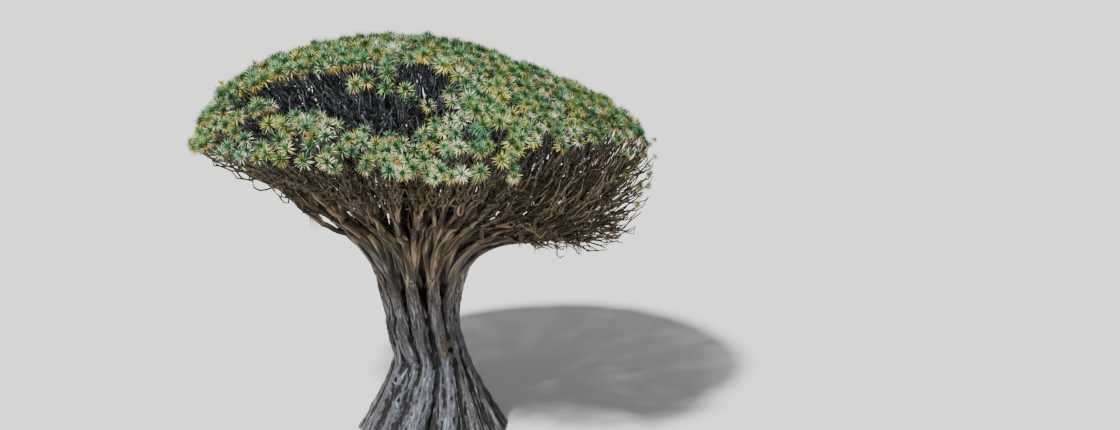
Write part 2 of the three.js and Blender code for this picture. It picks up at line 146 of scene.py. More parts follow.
# The boughs' sizes, the same as in the solids
CORE_RING = {
    "name": "crown", "count": 1, "turn": 0,
    "start": 0, "end": 0.2, "share": 0.02, "thick": 0.34, "tip": 0.19,
}
INNER_RING = {
    "name": "inner", "count": 6, "turn": 8,
    "start": 0.76, "end": 2.1, "share": 0.37, "thick": 0.35, "tip": 0.2,
}
OUTER_RING = {
    "name": "outer", "count": 12, "turn": 15,
    "start": 1.5, "end": 3.8, "share": 0.78, "thick": 0.385, "tip": 0.215,
}
RINGS = (CORE_RING, INNER_RING, OUTER_RING)
STUB_FOOT = 6.3
BOUGH_RISE = 7.6
BOUGH_STARTS = (0.86, 1.12)
BOUGH_BENDS_AT = 0.3
BOUGH_END = {"middle": 11.0, "rim": 10.05, "sag": 1.4}
BOUGH_BEND = {"middle": 9.5, "rim": 9.0, "sag": 0.1}
END_SCATTER = 0.3
SWING_SCATTER = 0.14
MIDDLE_DEPTH = 1.6
BARE_DEPTH = 1.0

# How limbs and twigs grow on from the boughs
HALVINGS = {"crown": 2, "inner": 2, "outer": 3}
PARTED = 0.46
LIMB_FOOT = 0.3
LIMB_GROWTH = 0.27
LIMB_SPREAD = 2.0
LIMB_MOST = 1.1
LIMB_LIFT = 0.15
LIMB_SWAY = 0.05
LIMB_CURVE = 1.1
LIMB_THICK = (0.5, 0.92)
STEM_LENGTH = 1.1
STEM_SUNK = 0.2
BORDER_SCATTER = (0.5, 1.35)
FORK_DELAY = 1.25
LATE_RISE = (0.92, 1.3)
WANDER = 0.16
LEAST_DEPTH = 0.3


# Settings

def metres(name, text, default, least=0.0):
    return FloatProperty(name=name, description=text, default=default, min=least, unit="LENGTH")


def count_of(name, text, default, least=0):
    return IntProperty(name=name, description=text, default=default, min=least)


def color_of(name, text, default):
    return FloatVectorProperty(name=name, description=text, subtype="COLOR", default=default)


class BarkSettings(bpy.types.PropertyGroup):
    """Sizes and colours of the bark on the trunk and boughs, and the painted shade in its grooves."""

    grain: metres("Bark mesh size", "Edge length of the bark's mesh", 0.046, 0.02)
    relief: metres("Relief", "Height of the ridges along the bark", 0.05)
    grey: color_of("Grey bark", "Colour of the trunk's ridges", (0.19, 0.183, 0.185))
    pale: color_of("Pale bark", "Colour of the smooth lobes at the foot", (0.185, 0.206, 0.253))
    warm: color_of("Warm bark", "Colour of the boughs", (0.176, 0.122, 0.069))
    # Painted shade: the near-black colour laid deep in the grooves
    crevice_shade: color_of("Crevices", "Colour deep in the grooves", (0.005, 0.004, 0.003))


class CrownSettings(bpy.types.PropertyGroup):
    """Sizes and counts of twigs, leaves, fruit and hanging roots."""

    canopy_ends: count_of("Canopy ends", "Twig ends spread over the top of the crown", 1180, 50)
    hidden_ends: count_of("Shaded ends", "Leafless twig ends below the canopy", 1680)
    bare_rows: count_of("Bare rows", "Rows of leafless twig ends on the bare side", 17, 2)
    bare_columns: count_of("Bare columns", "Columns of leafless twig ends on the bare side", 28, 2)
    leaf_length: metres("Leaf length", "Length of a full-grown blade", 0.34, 0.1)
    leaf_width: metres("Leaf width", "Width of a blade at its widest", 0.033, 0.005)
    blades: count_of("Blades", "Green blades in a rosette", 72, 9)
    twig_growth: FloatProperty(
        name="Twig growth", description="Power of the count of ends by which a twig is thicker",
        default=0.4, min=0.1,
    )
    panicles: count_of("Panicles", "Sprays of fruit in the crown", 22)
    root_tufts: count_of("Root tufts", "Tufts of roots that hang from the boughs", 30)


class StageSettings(bpy.types.PropertyGroup):
    """Where the camera stands, and the floor."""

    distance: metres("Camera distance", "From the trunk, along -Y", 52.0)
    height: metres("Camera height", "Above the ground", 22.4)
    aim_x: metres("Aim sideways", "Where the camera looks, along X", 5.8, -50.0)
    aim_z: metres("Aim height", "Where the camera looks, above the ground", 10.0)
    lens: FloatProperty(name="Lens", description="Focal length in millimetres", default=39.0)
    floor_color: color_of("Floor", "Colour of the floor", (0.78, 0.77, 0.75))


# Chance and noise

RANDOM_STEP = 16807
RANDOM_SPAN = 2147483647
CELL_STEPS = (73856093, 19349663, 83492791)
SEED_STEP = 2654435761
MIX_STEPS = ((15, 2246822519), (13, 3266489917))


def seeded(seed):
    """Numbers between 0 and 1 that are the same on every run."""
    state = seed

    def draw():
        nonlocal state
        state = state * RANDOM_STEP % RANDOM_SPAN
        return state / RANDOM_SPAN

    return draw


def chance(name):
    return np.random.default_rng(SEEDS[name])


def lattice(cells, seed):
    """One number between 0 and 1 for each cell of a grid."""
    mixed = np.uint32(seed * SEED_STEP % 2**32)
    for axis, step in enumerate(CELL_STEPS):
        mixed = mixed ^ (cells[..., axis].astype(np.uint32) * np.uint32(step))
    for shift, step in MIX_STEPS:
        mixed = (mixed ^ (mixed >> np.uint32(shift))) * np.uint32(step)
    return (mixed ^ (mixed >> np.uint32(16))).astype(np.float64) / (2**32 - 1)


def noise(points, seed):
    """Smooth noise between 0 and 1, with cells of size 1."""
    cells = np.floor(points).astype(np.int64)
    inside = points - cells
    inside = inside * inside * (3 - 2 * inside)
    total = np.zeros(len(points))
    for corner in range(8):
        step = np.array([corner & 1, corner >> 1 & 1, corner >> 2 & 1])
        weight = np.prod(np.where(step, inside, 1 - inside), axis=1)
        total += weight * lattice(cells + step, seed)
    return total


def ridges(spots, seed):
    """Noise with sharp crests, between 0 and 1."""
    return 1 - np.abs(2 * noise(spots, seed) - 1)


def unit(vectors):
    return vectors / np.maximum(np.linalg.norm(vectors, axis=-1, keepdims=True), 1e-9)


def square_to(vectors, ways):
    """Unit vectors at right angles to unit ways, turned as little as can be."""
    return unit(vectors - ways * (vectors * ways).sum(axis=-1, keepdims=True))


def smoothstep(value, low, high):
    share = np.clip((value - low) / (high - low), 0, 1)
    return share * share * (3 - 2 * share)


def lerp(low, high, share):
    return low + (high - low) * share


# The crown's outline

def within(side, azimuth):
    """How far a direction lies inside a side of the crown: 1 well inside, 0 outside."""
    turn = (azimuth - math.radians(side["middle"]) + math.pi) % FULL_TURN
    away = np.degrees(np.abs(turn - math.pi))
    return 1 - smoothstep(away, side["half"] - side["fade"], side["half"] + side["fade"])


def around(radius, azimuth, height, middle_x):
    return np.array([middle_x + radius * math.cos(azimuth), radius * math.sin(azimuth), height])


def rim_radius(azimuth):
    wide, narrow = RIM_WAVES
    return CROWN_REACH * (1 + wide * math.cos(5 * azimuth + 1) + narrow * math.cos(3 * azimuth))


def front_share(share, azimuth):
    """How far towards the front a place lies, as a share of the reach, from an uneven edge."""
    uneven = math.sin(9 * share * math.cos(azimuth)) + 0.6 * math.sin(23 * share * math.cos(azimuth) + 1)
    return -share * math.sin(azimuth) + STEP_EDGE * uneven


def canopy_height(share, azimuth, top):
    """The canopy's height: a dome, and in front a step down to a lower canopy."""
    rim = RIM_HEIGHT - RIM_TILT * math.cos(azimuth)
    slim = (1 + math.cos(azimuth)) / 2
    power, root, wide = (lerp(*pair, slim) for pair in zip(SHOULDER, SLOPE))
    dome = rim + (top - rim) * (1 - min(1, share * wide) ** power) ** root
    front = front_share(share, azimuth)
    if front < STEP_SHARE:
        return dome
    fall = min(1, (front - STEP_SHARE) / (1 - STEP_SHARE)) ** STEP_FALL
    step = STEP_TOP + STEP_RISE * smoothstep(-share * math.cos(azimuth), *STEP_RISES)
    foot = STEP_FOOT + FRONT_DIP * math.cos(azimuth) ** 2
    return min(dome, lerp(dome, lerp(step, foot, fall), within(LOW_SIDE, azimuth)))


def canopy_ends(count, inset):
    """Twig ends spread evenly over the dome, set in by the reach of a rosette."""
    random = seeded(SEEDS["canopy"])
    ends = []
    for k in range(count):
        cosine = 1 - (k + 0.5) / count * (1 - math.cos(DOME_ANGLE))
        share = math.sqrt(1 - cosine * cosine) / math.sin(DOME_ANGLE)
        azimuth = k * GOLDEN_ANGLE + (random() - 0.5) * END_JITTER
        height = canopy_height(share, azimuth, TREE_HEIGHT - inset + TOP_LIFT) - random() * TOP_ROUGHNESS
        height += np.interp(math.degrees(azimuth) % 360, *zip(*RIM_LIFT)) * smoothstep(share, 0.6, 1)
        front = front_share(share, azimuth)
        low_side = within(LOW_SIDE, azimuth)
        on_step = abs(front - STEP_SHARE) < STEP_WIDTH and low_side > 0.5
        if on_step and random() > np.interp(share * math.cos(azimuth), *zip(*LONE_ROSETTES)):
            continue
        if front > STEP_SHARE and random() < OPEN_FRONT * low_side:
            continue
        if on_step:
            height = lerp(STEP_TOP, height, 0.2 + 0.6 * random())
        leafless_below = LEAFLESS_BELOW - LEAFLESS_RISE * math.sin(azimuth)
        leafy = within(BARE_SIDE, azimuth) < 0.5 or height > leafless_below
        ends.append((around((rim_radius(azimuth) - inset) * share, azimuth, height, CROWN_X), leafy))
    return ends


def bare_ends(rows, columns):
    """Leafless twig ends on rows from the rim of the bare side down to its underside."""
    random = seeded(SEEDS["bare"])
    ends = []
    for row in range(rows):
        for column in range(columns):
            down = (row + 0.2 + 0.6 * random()) / rows
            across = (column + 0.2 + 0.6 * random()) / columns * 2 - 1
            azimuth = math.radians(BARE_SIDE["middle"] + across * BARE_SIDE["half"])
            if down > within(BARE_SIDE, azimuth):
                continue
            radius = CROWN_REACH * (BARE_OUTMOST - BARE_TUCK * down**3 - BARE_SCATTER * random() ** 1.6)
            low = BARE_LOW + BARE_RISE * (1 - math.cos(azimuth))
            ends.append((around(radius, azimuth, lerp(BARE_HIGH, low, down), CROWN_X), False))
    return ends


def hidden_ends(count):
    """Leafless twig ends in the shade between the crown's underside and the canopy."""
    random = seeded(SEEDS["shade"])
    low, high, curve = UNDERSIDE
    ends = []
    for k in range(count):
        share = ((k + 0.5) / count) ** SHADE_SPREAD[0] * SHADE_SPREAD[1]
        azimuth = k * GOLDEN_ANGLE + random() * 0.3
        floor = lerp(low, high, share**curve) + SHADE_FLOOR[0] * share + SHADE_FLOOR[1]
        roof = canopy_height(share, azimuth, TREE_HEIGHT) - SHADE_ROOF
        height = lerp(floor, roof, random() ** 1.4 if k % 2 else 1 - 0.45 * random() ** 1.5)
        if roof > floor and (k % 4 == 0 or within(BARE_SIDE, azimuth) < 0.8 or share < SHADE_SHARE):
            ends.append((around(CROWN_REACH * share, azimuth, height, CROWN_X), False))
    return ends


def underside(places):
    """The height of the crown's underside at some places."""
    low, high, curve = UNDERSIDE
    reach = np.linalg.norm(places[..., :2], axis=-1) / CROWN_REACH
    azimuth = np.arctan2(places[..., 1], places[..., 0])
    bare = BARE_LOW - 0.3 + BARE_RISE * (1 - np.cos(azimuth))
    return lerp(lerp(low, high, reach**curve), bare, within(BARE_SIDE, azimuth))


# Boughs, the same as in the solids

def bough_height(heights, ring, azimuth):
    low = within(BARE_SIDE, azimuth) * math.cos(azimuth) ** 2 * ring["share"]
    outwards = ring["share"] / OUTER_RING["share"]
    return lerp(heights["middle"], heights["rim"], outwards) - heights["sag"] * low


def bezier(points, shares):
    a, b, c, d = points
    t = np.asarray(shares)[:, None]
    return a * (1 - t) ** 3 + 3 * b * t * (1 - t) ** 2 + 3 * c * t * t * (1 - t) + d * t**3


def plan_boughs():
    random = seeded(SEEDS["boughs"])
    made = []
    for ring in RINGS:
        for k in range(ring["count"]):
            azimuth = math.radians(ring["turn"] + 360 / ring["count"] * k)
            swing = azimuth + (random() - 0.5) * SWING_SCATTER
            end_height = bough_height(BOUGH_END, ring, azimuth) + (random() - 0.5) * END_SCATTER
            bend_height = bough_height(BOUGH_BEND, ring, azimuth)
            bend = lerp(ring["start"], ring["end"], BOUGH_BENDS_AT)
            points = (
                around(ring["start"] * BOUGH_STARTS[0], azimuth, STUB_FOOT, TRUNK_LEAN),
                around(ring["start"] * BOUGH_STARTS[1], azimuth, BOUGH_RISE, TRUNK_LEAN),
                around(bend, azimuth, bend_height, TRUNK_LEAN),
                around(ring["end"], swing, end_height, CROWN_X),
            )
            suffix = f"_{k + 1}" if ring["count"] > 1 else ""
            made.append({"name": ring["name"] + suffix, "ring": ring, "azimuth": swing, "points": points})
    return made


def mass_middles(boughs):
    """The middle of each mass. A mass keeps to the points that are nearer to its own middle."""
    middles = []
    for bough in boughs:
        share, azimuth = bough["ring"]["share"], bough["azimuth"]
        below = MIDDLE_DEPTH + BARE_DEPTH * within(BARE_SIDE, azimuth) * share
        height = canopy_height(share, azimuth, TREE_HEIGHT) - below
        middles.append(around(CROWN_REACH * share, azimuth, height, CROWN_X))
    return np.array(middles)


# The growing rule: a group of ends is halved at each fork, as in the solids, down to single ends

def halves(group, places, fork):
    """Cuts a group of ends in two, across the direction in which it looks widest from a fork."""
    way = unit(places[group].mean(axis=0) - fork)
    right = np.roll(way, 1)
    right = unit(right - way * (right @ way))
    up = np.cross(way, right)
    views = places[group] - fork
    depth = np.maximum(views @ way, LEAST_DEPTH * np.linalg.norm(views, axis=1))
    x = views @ right / depth
    y = views @ up / depth
    x = x - x.mean()
    y = y - y.mean()
    angle = math.atan2(2 * (x * y).mean(), (x * x - y * y).mean()) / 2
    order = np.argsort(x * math.cos(angle) + y * math.sin(angle), kind="stable")
    half = len(group) // 2
    return group[order[:half]], group[order[half:]]


def fork_place(base, group, places, random):
    """Where a twig forks, on its way to the middle of the ends that it carries."""
    share = 1 / (math.log2(len(group)) + FORK_DELAY)
    middle = places[group].mean(axis=0)
    way = middle - base
    stray = np.linalg.norm(way) * share * WANDER
    late = lerp(*LATE_RISE, within(BARE_SIDE, math.atan2(middle[1], middle[0])))
    rise = np.array([share, share, share**late])
    return base + way * rise + np.array([random() - 0.5 for _ in range(3)]) * stray


def grow(foot, tip, group, places, random, parent, twigs):
    """Adds a twig and all that it carries to the list of twigs."""
    index = len(twigs)
    twigs.append((foot, tip, group, parent))
    if len(group) == 1:
        return
    for part in halves(group, places, tip):
        reach = places[part[0]] if len(part) == 1 else fork_place(tip, part, places, random)
        grow(tip, reach, part, places, random, index, twigs)


def limb_groups(group, places, tip, halvings):
    """The ends that each limb of a bough carries."""
    groups = [group]
    for _ in range(halvings):
        groups = [part for whole in groups for part in halves(whole, places, tip)]
    return groups


def limb_line(bough, aside, rng):
    """A limb leaves its bough where the bough parts, and keeps more and more to its own side."""
    shares = np.linspace(LIMB_FOOT, 1, 16)
    away = ((shares - LIMB_FOOT) / (1 - LIMB_FOOT))[:, None]
    sway = np.stack([slow_sway(shares * 9, LIMB_SWAY, rng) for _ in range(3)], axis=-1)
    return bezier(bough["points"], shares) + aside * away**LIMB_CURVE + sway * away


def grow_crown(settings):
    """All limbs and twigs of the crown as arrays, with the mass that each belongs to."""
    boughs = plan_boughs()
    middles = mass_middles(boughs)
    ends = canopy_ends(settings.canopy_ends, settings.leaf_length * ROSETTE_REACH)
    ends += hidden_ends(settings.hidden_ends)
    ends += bare_ends(settings.bare_rows, settings.bare_columns)
    places, leafy = (np.array(part) for part in zip(*ends))
    rng = chance("border")
    astray = places + rng.normal(0, 1, places.shape) * np.where(leafy, *BORDER_SCATTER)[:, None]
    owner = np.argmin(np.linalg.norm(astray[:, None] - middles[None], axis=2), axis=1)
    rows, limbs = [], []
    for mass, bough in enumerate(boughs):
        group = np.nonzero(owner == mass)[0]
        random = seeded(SEEDS["masses"] + mass * 17)
        ring, start = bough["ring"], bough["points"][-1]
        whole_way = unit(places[group].mean(axis=0) - start)
        for part in limb_groups(group, places, start, HALVINGS[ring["name"]]):
            aside = (unit(places[part].mean(axis=0) - start) - whole_way) * LIMB_SPREAD
            aside *= min(1, LIMB_MOST / np.linalg.norm(aside))
            aside[2] = max(aside[2], LIMB_LIFT)
            line = limb_line(bough, aside, rng)
            stem = ring["tip"] * LIMB_THICK[1] * (len(part) / len(group)) ** LIMB_GROWTH
            limbs.append((line, np.linspace(ring["thick"] * LIMB_THICK[0], stem, len(line))))
            tip = line[-1]
            along = unit(tip - line[-2])
            twigs = []
            grow(tip - along * STEM_SUNK, tip + along * STEM_LENGTH, part, places, random, -1, twigs)
            first = len(rows)
            for foot, tip, carried, parent in twigs:
                count = len(carried)
                end = carried[0] if count == 1 else -1
                thick = stem * (count / len(part)) ** settings.twig_growth
                rows.append((foot, tip, end, first + parent if parent >= 0 else -1, mass, thick))
    keys = ("foot", "tip", "end", "parent", "mass", "thick")
    crown = {key: np.array(values) for key, values in zip(keys, zip(*rows))}
    crown.update(leafy=leafy, limbs=limbs)
    bend_twigs(crown)
    return crown


LEAFY_LIFT = 0.35
BARE_LIFT = 0.8
STEM_HOLD = 0.62
FORK_NECK = 0.84


def bend_twigs(crown):
    """Gives each twig the way it leaves its fork and the way it ends, and its thickness at its foot."""
    chord = unit(crown["tip"] - crown["foot"])
    parent = crown["parent"]
    inner = parent >= 0
    ahead = chord.copy()
    np.add.at(ahead, parent[inner], chord[inner] * 0.5)
    lift = np.where(crown["leafy"][crown["end"]], LEAFY_LIFT, BARE_LIFT)
    ahead[:, 2] += np.where(crown["end"] >= 0, lift, 0)
    crown["ahead"] = unit(ahead)
    before = chord.copy()
    before[inner] = crown["ahead"][parent[inner]]
    crown["leaving"] = unit(before * STEM_HOLD + chord * (1 - STEM_HOLD))
    foot_thick = crown["thick"] * 1.02
    foot_thick[inner] = crown["thick"][parent[inner]] * FORK_NECK
    crown["foot_thick"] = np.maximum(foot_thick, crown["thick"])


# Meshes from arrays

class Corners:
    """Gathers corners and faces of many small shapes, to join them in one mesh."""

    def __init__(self):
        self.places, self.loops, self.sizes = [], [], []
        self.count = 0

    def repeat(self, places, faces):
        """Adds copies of a shape, one for each row of places. Faces of one size form one list."""
        copies, corners = places.shape[:2]
        shift = (np.arange(copies) * corners)[:, None, None] + self.count
        for face in faces:
            loops = np.asarray(face)[None] + shift
            self.loops.append(loops.ravel())
            self.sizes.append(np.full(copies * len(face), len(face[0])))
        self.places.append(places.reshape(-1, 3))
        self.count += copies * corners

    def tubes(self, lines, thick, sides):
        """Adds closed tubes along lines, which all have the same number of points."""
        rings = rings_along(lines, thick, sides)
        self.repeat(rings.reshape(len(lines), -1, 3), tube_faces(sides, lines.shape[1] - 1))

    def mesh(self, name):
        mesh = bpy.data.meshes.new(name)
        places = np.concatenate(self.places).astype(np.float32)
        loops = np.concatenate(self.loops).astype(np.int32)
        sizes = np.concatenate(self.sizes)
        mesh.vertices.add(len(places))
        mesh.vertices.foreach_set("co", places.ravel())
        mesh.loops.add(len(loops))
        mesh.loops.foreach_set("vertex_index", loops)
        mesh.polygons.add(len(sizes))
        starts = np.concatenate([[0], np.cumsum(sizes)[:-1]])
        mesh.polygons.foreach_set("loop_start", starts.astype(np.int32))
        mesh.update(calc_edges=True)
        mesh.shade_smooth()
        return mesh


def show(name, mesh, material, nodes):
    """Puts a finished mesh in the scene as a piece that stands for some nodes of the solids."""
    piece = bpy.data.objects.new(name, mesh)
    bpy.context.scene.collection.objects.link(piece)
    mesh.materials.append(material)
    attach(piece, "root")
    if nodes:
        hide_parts(*nodes)


def tube_faces(sides, steps):
    """Walls, foot and top of one closed tube whose corners lie ring by ring."""
    ring = [(side, (side + 1) % sides) for side in range(sides)]
    walls = [(a + low, b + low, b + low + sides, a + low + sides)
             for low in range(0, steps * sides, sides) for a, b in ring]
    return [walls, [tuple(reversed(range(sides)))], [tuple(range(steps * sides, (steps + 1) * sides))]]


def rings_along(lines, thick, sides):
    """Rings of corners round lines: lines is (tubes, points, 3) and thick is (tubes, points)."""
    along = unit(np.gradient(lines, axis=1))
    chord = unit(lines[:, -1] - lines[:, 0])
    reference = np.roll(chord, 1, axis=-1)
    reference = reference - chord * (reference * chord).sum(axis=-1, keepdims=True)
    first = square_to(reference[:, None], along)
    second = np.cross(along, first)
    turn = np.arange(sides) / sides * FULL_TURN
    out = first[:, :, None] * np.cos(turn)[:, None] + second[:, :, None] * np.sin(turn)[:, None]
    return lines[:, :, None] + out * thick[:, :, None, None]


def hermite(foot, tip, leaving, ahead, steps):
    """Curved lines from foot to tip that leave and end in given directions."""
    t = np.linspace(0, 1, steps + 1)[None, :, None]
    pull = np.linalg.norm(tip - foot, axis=1)[:, None, None] * 0.85
    return (
        foot[:, None] * (2 * t**3 - 3 * t**2 + 1)
        + leaving[:, None] * pull * (t**3 - 2 * t**2 + t)
        + tip[:, None] * (3 * t**2 - 2 * t**3)
        + ahead[:, None] * pull * (t**3 - t**2)
    )


def slow_sway(lengths, size, rng):
    """A gentle change along a length, made of three waves."""
    waves = [np.sin(lengths * rate + rng.uniform(0, 6.3)) / rate for rate in (0.8, 1.7, 3.1)]
    return size * sum(waves)


def even(line, thick, step):
    """The same line with its points a step apart, and its corners softened."""
    length = np.concatenate([[0], np.cumsum(np.linalg.norm(np.diff(line, axis=0), axis=1))])
    fine = np.linspace(0, length[-1], max(4, int(length[-1] / step)))
    line = np.stack([np.interp(fine, length, line[:, k]) for k in range(3)], axis=-1)
    thick = np.interp(fine, length, thick)
    for _ in range(3):
        for part in (line, thick):
            part[1:-1] = part[:-2] / 4 + part[1:-1] / 2 + part[2:] / 4
    return line, thick


# Twigs

# Tubes for twigs that are at least so thick at their foot: sides and steps
TWIG_KINDS = ((0.045, 6, 6), (0.0, 4, 5))
TWIG_WAVE = 0.18
BARE_WAVE = 0.19
WAVE_REACH = 1.1
WAVE_SIZES = (0.45, 0.35, 0.14)
KNUCKLE = 0.16
TWIG_SAG = 0.2
SAG_SOFT = 0.14
BARE_POINT = 0.45
STOUT = 0.07
LIMB_SIDES = 10
LIMB_STEP = 0.2
LIMB_FLUTES = 0.2
GRAIN_STRETCH = 0.14


def twig_lines(crown, index, steps, rng):
    """Curved and slightly knuckled lines for some twigs, and their thickness."""
    foot, tip, end = (crown[key][index] for key in ("foot", "tip", "end"))
    lines = hermite(foot, tip, crown["leaving"][index], crown["ahead"][index], steps)
    share = np.linspace(0, 1, steps + 1)[None]
    length = np.linalg.norm(tip - foot, axis=1)
    bare = ~crown["leafy"][end] & (end >= 0)
    strength = np.minimum(length, WAVE_REACH) * np.where(bare, BARE_WAVE, TWIG_WAVE)
    wave = rng.normal(0, 1, (len(index), 3, 3)) * strength[:, None, None]
    for number, size in enumerate(WAVE_SIZES):
        lines += wave[:, None, number] * np.sin((number + 1) * np.pi * share)[..., None] * size
    least = underside(lines) - TWIG_SAG
    lines[..., 2] = least + SAG_SOFT * np.logaddexp(0, (lines[..., 2] - least) / SAG_SOFT)
    neck = np.exp(-share * 3.2)
    thick = crown["thick"][index][:, None] * (1 - neck) + crown["foot_thick"][index][:, None] * neck
    swell = 1 + KNUCKLE * np.exp(-((share - 0.97) / 0.12) ** 2)
    thick = thick * swell * (1 + 0.1 * (rng.random(thick.shape) - 0.5))
    thick[bare, -1] *= BARE_POINT
    return lines, thick


def twig_corners(crown, chosen):
    """Closed tubes for the thin twigs among the chosen ones."""
    corners = Corners()
    rng = chance("twigs")
    below = STOUT
    for least, sides, steps in TWIG_KINDS:
        index = np.nonzero(chosen & (crown["foot_thick"] < below) & (crown["foot_thick"] >= least))[0]
        below = least
        corners.tubes(*twig_lines(crown, index, steps, rng), sides)
    return corners


def limb_mesh(crown, name):
    """Fluted tubes for the limbs and the stout twigs, with the grain and the grooves of their bark."""
    index = np.nonzero(crown["foot_thick"] >= STOUT)[0]
    lines = list(crown["limbs"])
    lines += list(zip(*twig_lines(crown, index, 6, chance("limbs"))))
    corners = Corners()
    grain, cavity = [], []
    turn = np.arange(LIMB_SIDES) / LIMB_SIDES * FULL_TURN
    circle = np.stack([np.cos(turn), np.sin(turn)], axis=-1)[None]
    for number, (line, thick) in enumerate(lines):
        line, thick = even(line, thick, LIMB_STEP)
        count = len(line)
        round_place = circle * np.ones((count, 1, 1))
        along = np.arange(count) * LIMB_STEP * 0.7 + number * 5.3
        along = np.broadcast_to(along[:, None, None], (count, LIMB_SIDES, 1))
        spots = np.concatenate([round_place * 1.7, along], axis=-1).reshape(-1, 3)
        groove = ridges(spots, 31).reshape(count, LIMB_SIDES)
        rings = rings_along(line[None], thick[None], LIMB_SIDES)[0]
        rings = line[:, None] + (rings - line[:, None]) * (1 + LIMB_FLUTES * (groove - 0.6))[..., None]
        corners.repeat(rings.reshape(1, -1, 3), tube_faces(LIMB_SIDES, count - 1))
        run = np.concatenate([round_place * thick[:, None, None], along * GRAIN_STRETCH], axis=-1)
        grain.append(run.reshape(-1, 3))
        cavity.append((0.95 - 0.7 * groove).ravel())
    mesh = corners.mesh(name)
    add_marks(mesh, np.concatenate(grain), np.concatenate(cavity))
    return mesh


def add_marks(mesh, grain, cavity):
    """Keeps the run of the grain and the depth of the grooves with the mesh, for its material, which paints
    shade into the grooves and highlights onto the crests.
    """
    depth = mesh.attributes.new("cavity", "FLOAT", "POINT")
    depth.data.foreach_set("value", cavity.astype(np.float32))
    streak = mesh.attributes.new("grain", "FLOAT_VECTOR", "POINT")
    streak.data.foreach_set("vector", grain.astype(np.float32).ravel())


# Leaves

BLADE_FACES = [[(0, 2, 1), (0, 3, 2), (1, 2, 4), (2, 3, 4)]]
BLADE_WIDEST = 0.34
BLADE_FOLD = 0.22
ROSETTE_KINDS = 9
# The first and last angle from the axis, in degrees, of a rosette's heart, whorls and dry skirt
HEART_ANGLES = (8, 70)
WHORL_ANGLES = ((22, 58), (50, 94), (84, 124))
SKIRT_ANGLES = (98, 165)
SKIRT_BLADES = 30


def blades(polar, turn, length, width, droop, root):
    """Folded sword-shaped blades round +Z, of five corners each: root, left, middle, right and tip."""
    out = np.stack([np.cos(turn), np.sin(turn), np.zeros_like(turn)], axis=-1)
    up = np.array([0.0, 0.0, 1.0])
    way = out * np.sin(polar)[:, None] + up * np.cos(polar)[:, None]
    side = np.stack([-np.sin(turn), np.cos(turn), np.zeros_like(turn)], axis=-1)
    over = np.cross(way, side)
    over = over * np.where(over[:, 2:] < 0, -1, 1)
    fall = up * (droop * length * BLADE_WIDEST**2)[:, None]
    middle = way * (root + length * BLADE_WIDEST)[:, None] - fall
    half = side * (width / 2)[:, None]
    fold = over * (width * BLADE_FOLD)[:, None]
    tip = way * (root + length)[:, None] - up * (droop * length)[:, None]
    return np.stack([way * root, middle - half + fold, middle - fold, middle + half + fold, tip], axis=1)


def spread_angles(count, angles, scatter, rng):
    """Angles from a rosette's axis, spread evenly between two and a little scattered."""
    step = (np.arange(count) + 0.5) / count
    return np.radians(lerp(*angles, step)) + rng.normal(0, scatter, count)


def blade_sizes(settings, rng, count, scatter, lengths, widths):
    """Turns, a golden angle apart, and lengths and widths of blades."""
    turn = np.arange(count) * GOLDEN_ANGLE + rng.normal(0, scatter, count)
    length = settings.leaf_length * rng.uniform(*lengths, count)
    width = settings.leaf_width * rng.uniform(*widths, count)
    return turn, length, width


def heart(settings, rng):
    """The short upright blades in the middle of a rosette."""
    count = settings.blades // 3
    polar = spread_angles(count, HEART_ANGLES, 0.06, rng)
    return blades(polar, *blade_sizes(settings, rng, count, 0.1, (0.5, 0.8), (0.9, 1.3)), 0.02, 0.03)


def whorl(settings, rng, angles):
    """Long blades of a rosette that stand out between two angles from its axis."""
    count = settings.blades * 2 // 9
    polar = spread_angles(count, angles, 0.08, rng)
    sizes = blade_sizes(settings, rng, count, 0.12, (0.8, 1.12), (0.8, 1.1))
    droop = 0.08 * (polar / 2) ** 2 * rng.uniform(0.5, 1.5, count)
    return blades(polar, *sizes, droop, 0.04)


def skirt(settings, rng):
    """The dry blades that hang close below a rosette."""
    polar = np.radians(rng.uniform(*SKIRT_ANGLES, SKIRT_BLADES))
    sizes = blade_sizes(settings, rng, SKIRT_BLADES, 0.2, (0.6, 1.1), (0.9, 1.4))
    return blades(polar, *sizes, 0.1, 0.05)


def turned(axes, spin):
    """Matrices that turn +Z to each axis, after a spin round it."""
    first = square_to(np.roll(axes, 1, axis=-1), axes)
    second = np.cross(axes, first)
    cos, sin = np.cos(spin)[:, None], np.sin(spin)[:, None]
    return np.stack([first * cos + second * sin, second * cos - first * sin, axes], axis=-1)


def place_all(kinds, pick, places, matrices, scale):
    """Copies of sprays: each spray is (blades, corners, 3), and pick says which one goes where."""
    made = []
    for number, spray in enumerate(kinds):
        index = np.nonzero(pick == number)[0]
        copies = np.einsum("nij,cj->nci", matrices[index], spray.reshape(-1, 3))
        copies = copies * scale[index][:, None, None] + places[index][:, None]
        made.append(copies.reshape(-1, spray.shape[1], 3))
    return np.concatenate(made)


# Tints of the blades, each with its share of the hearts and of the upper, middle and lower whorls. Besides
# the leaves' own greens, the dark tints in the hearts are painted shade and the pale tints out on the
# whorls painted light
LEAF_TINTS = (
    # Dark green, dealt mostly to the hearts, where it is painted shade
    ("shaded_deep_green", (0.028, 0.1, 0.03), (0.76, 0.14, 0.12, 0.12)),
    ("sea_green", (0.155, 0.33, 0.13), (0.0, 0.36, 0.28, 0.24)),
    ("blue_green", (0.06, 0.19, 0.09), (0.24, 0.24, 0.18, 0.16)),
    # Pale silver green, as bright as painted highlights, dealt only to the outer whorls
    ("silver_green_highlight", (0.78, 0.86, 0.54), (0.0, 0.1, 0.16, 0.12)),
    ("olive_green", (0.23, 0.3, 0.05), (0.0, 0.12, 0.16, 0.2)),
    ("yellow_green", (0.66, 0.58, 0.1), (0.0, 0.04, 0.1, 0.16)),
)
DRY_TINTS = (
    ("orange_brown", (0.36, 0.2, 0.05)),
    ("ochre", (0.48, 0.33, 0.08)),
)
DRY_SHARE = 0.22
DRY_UPRIGHT = 1.3
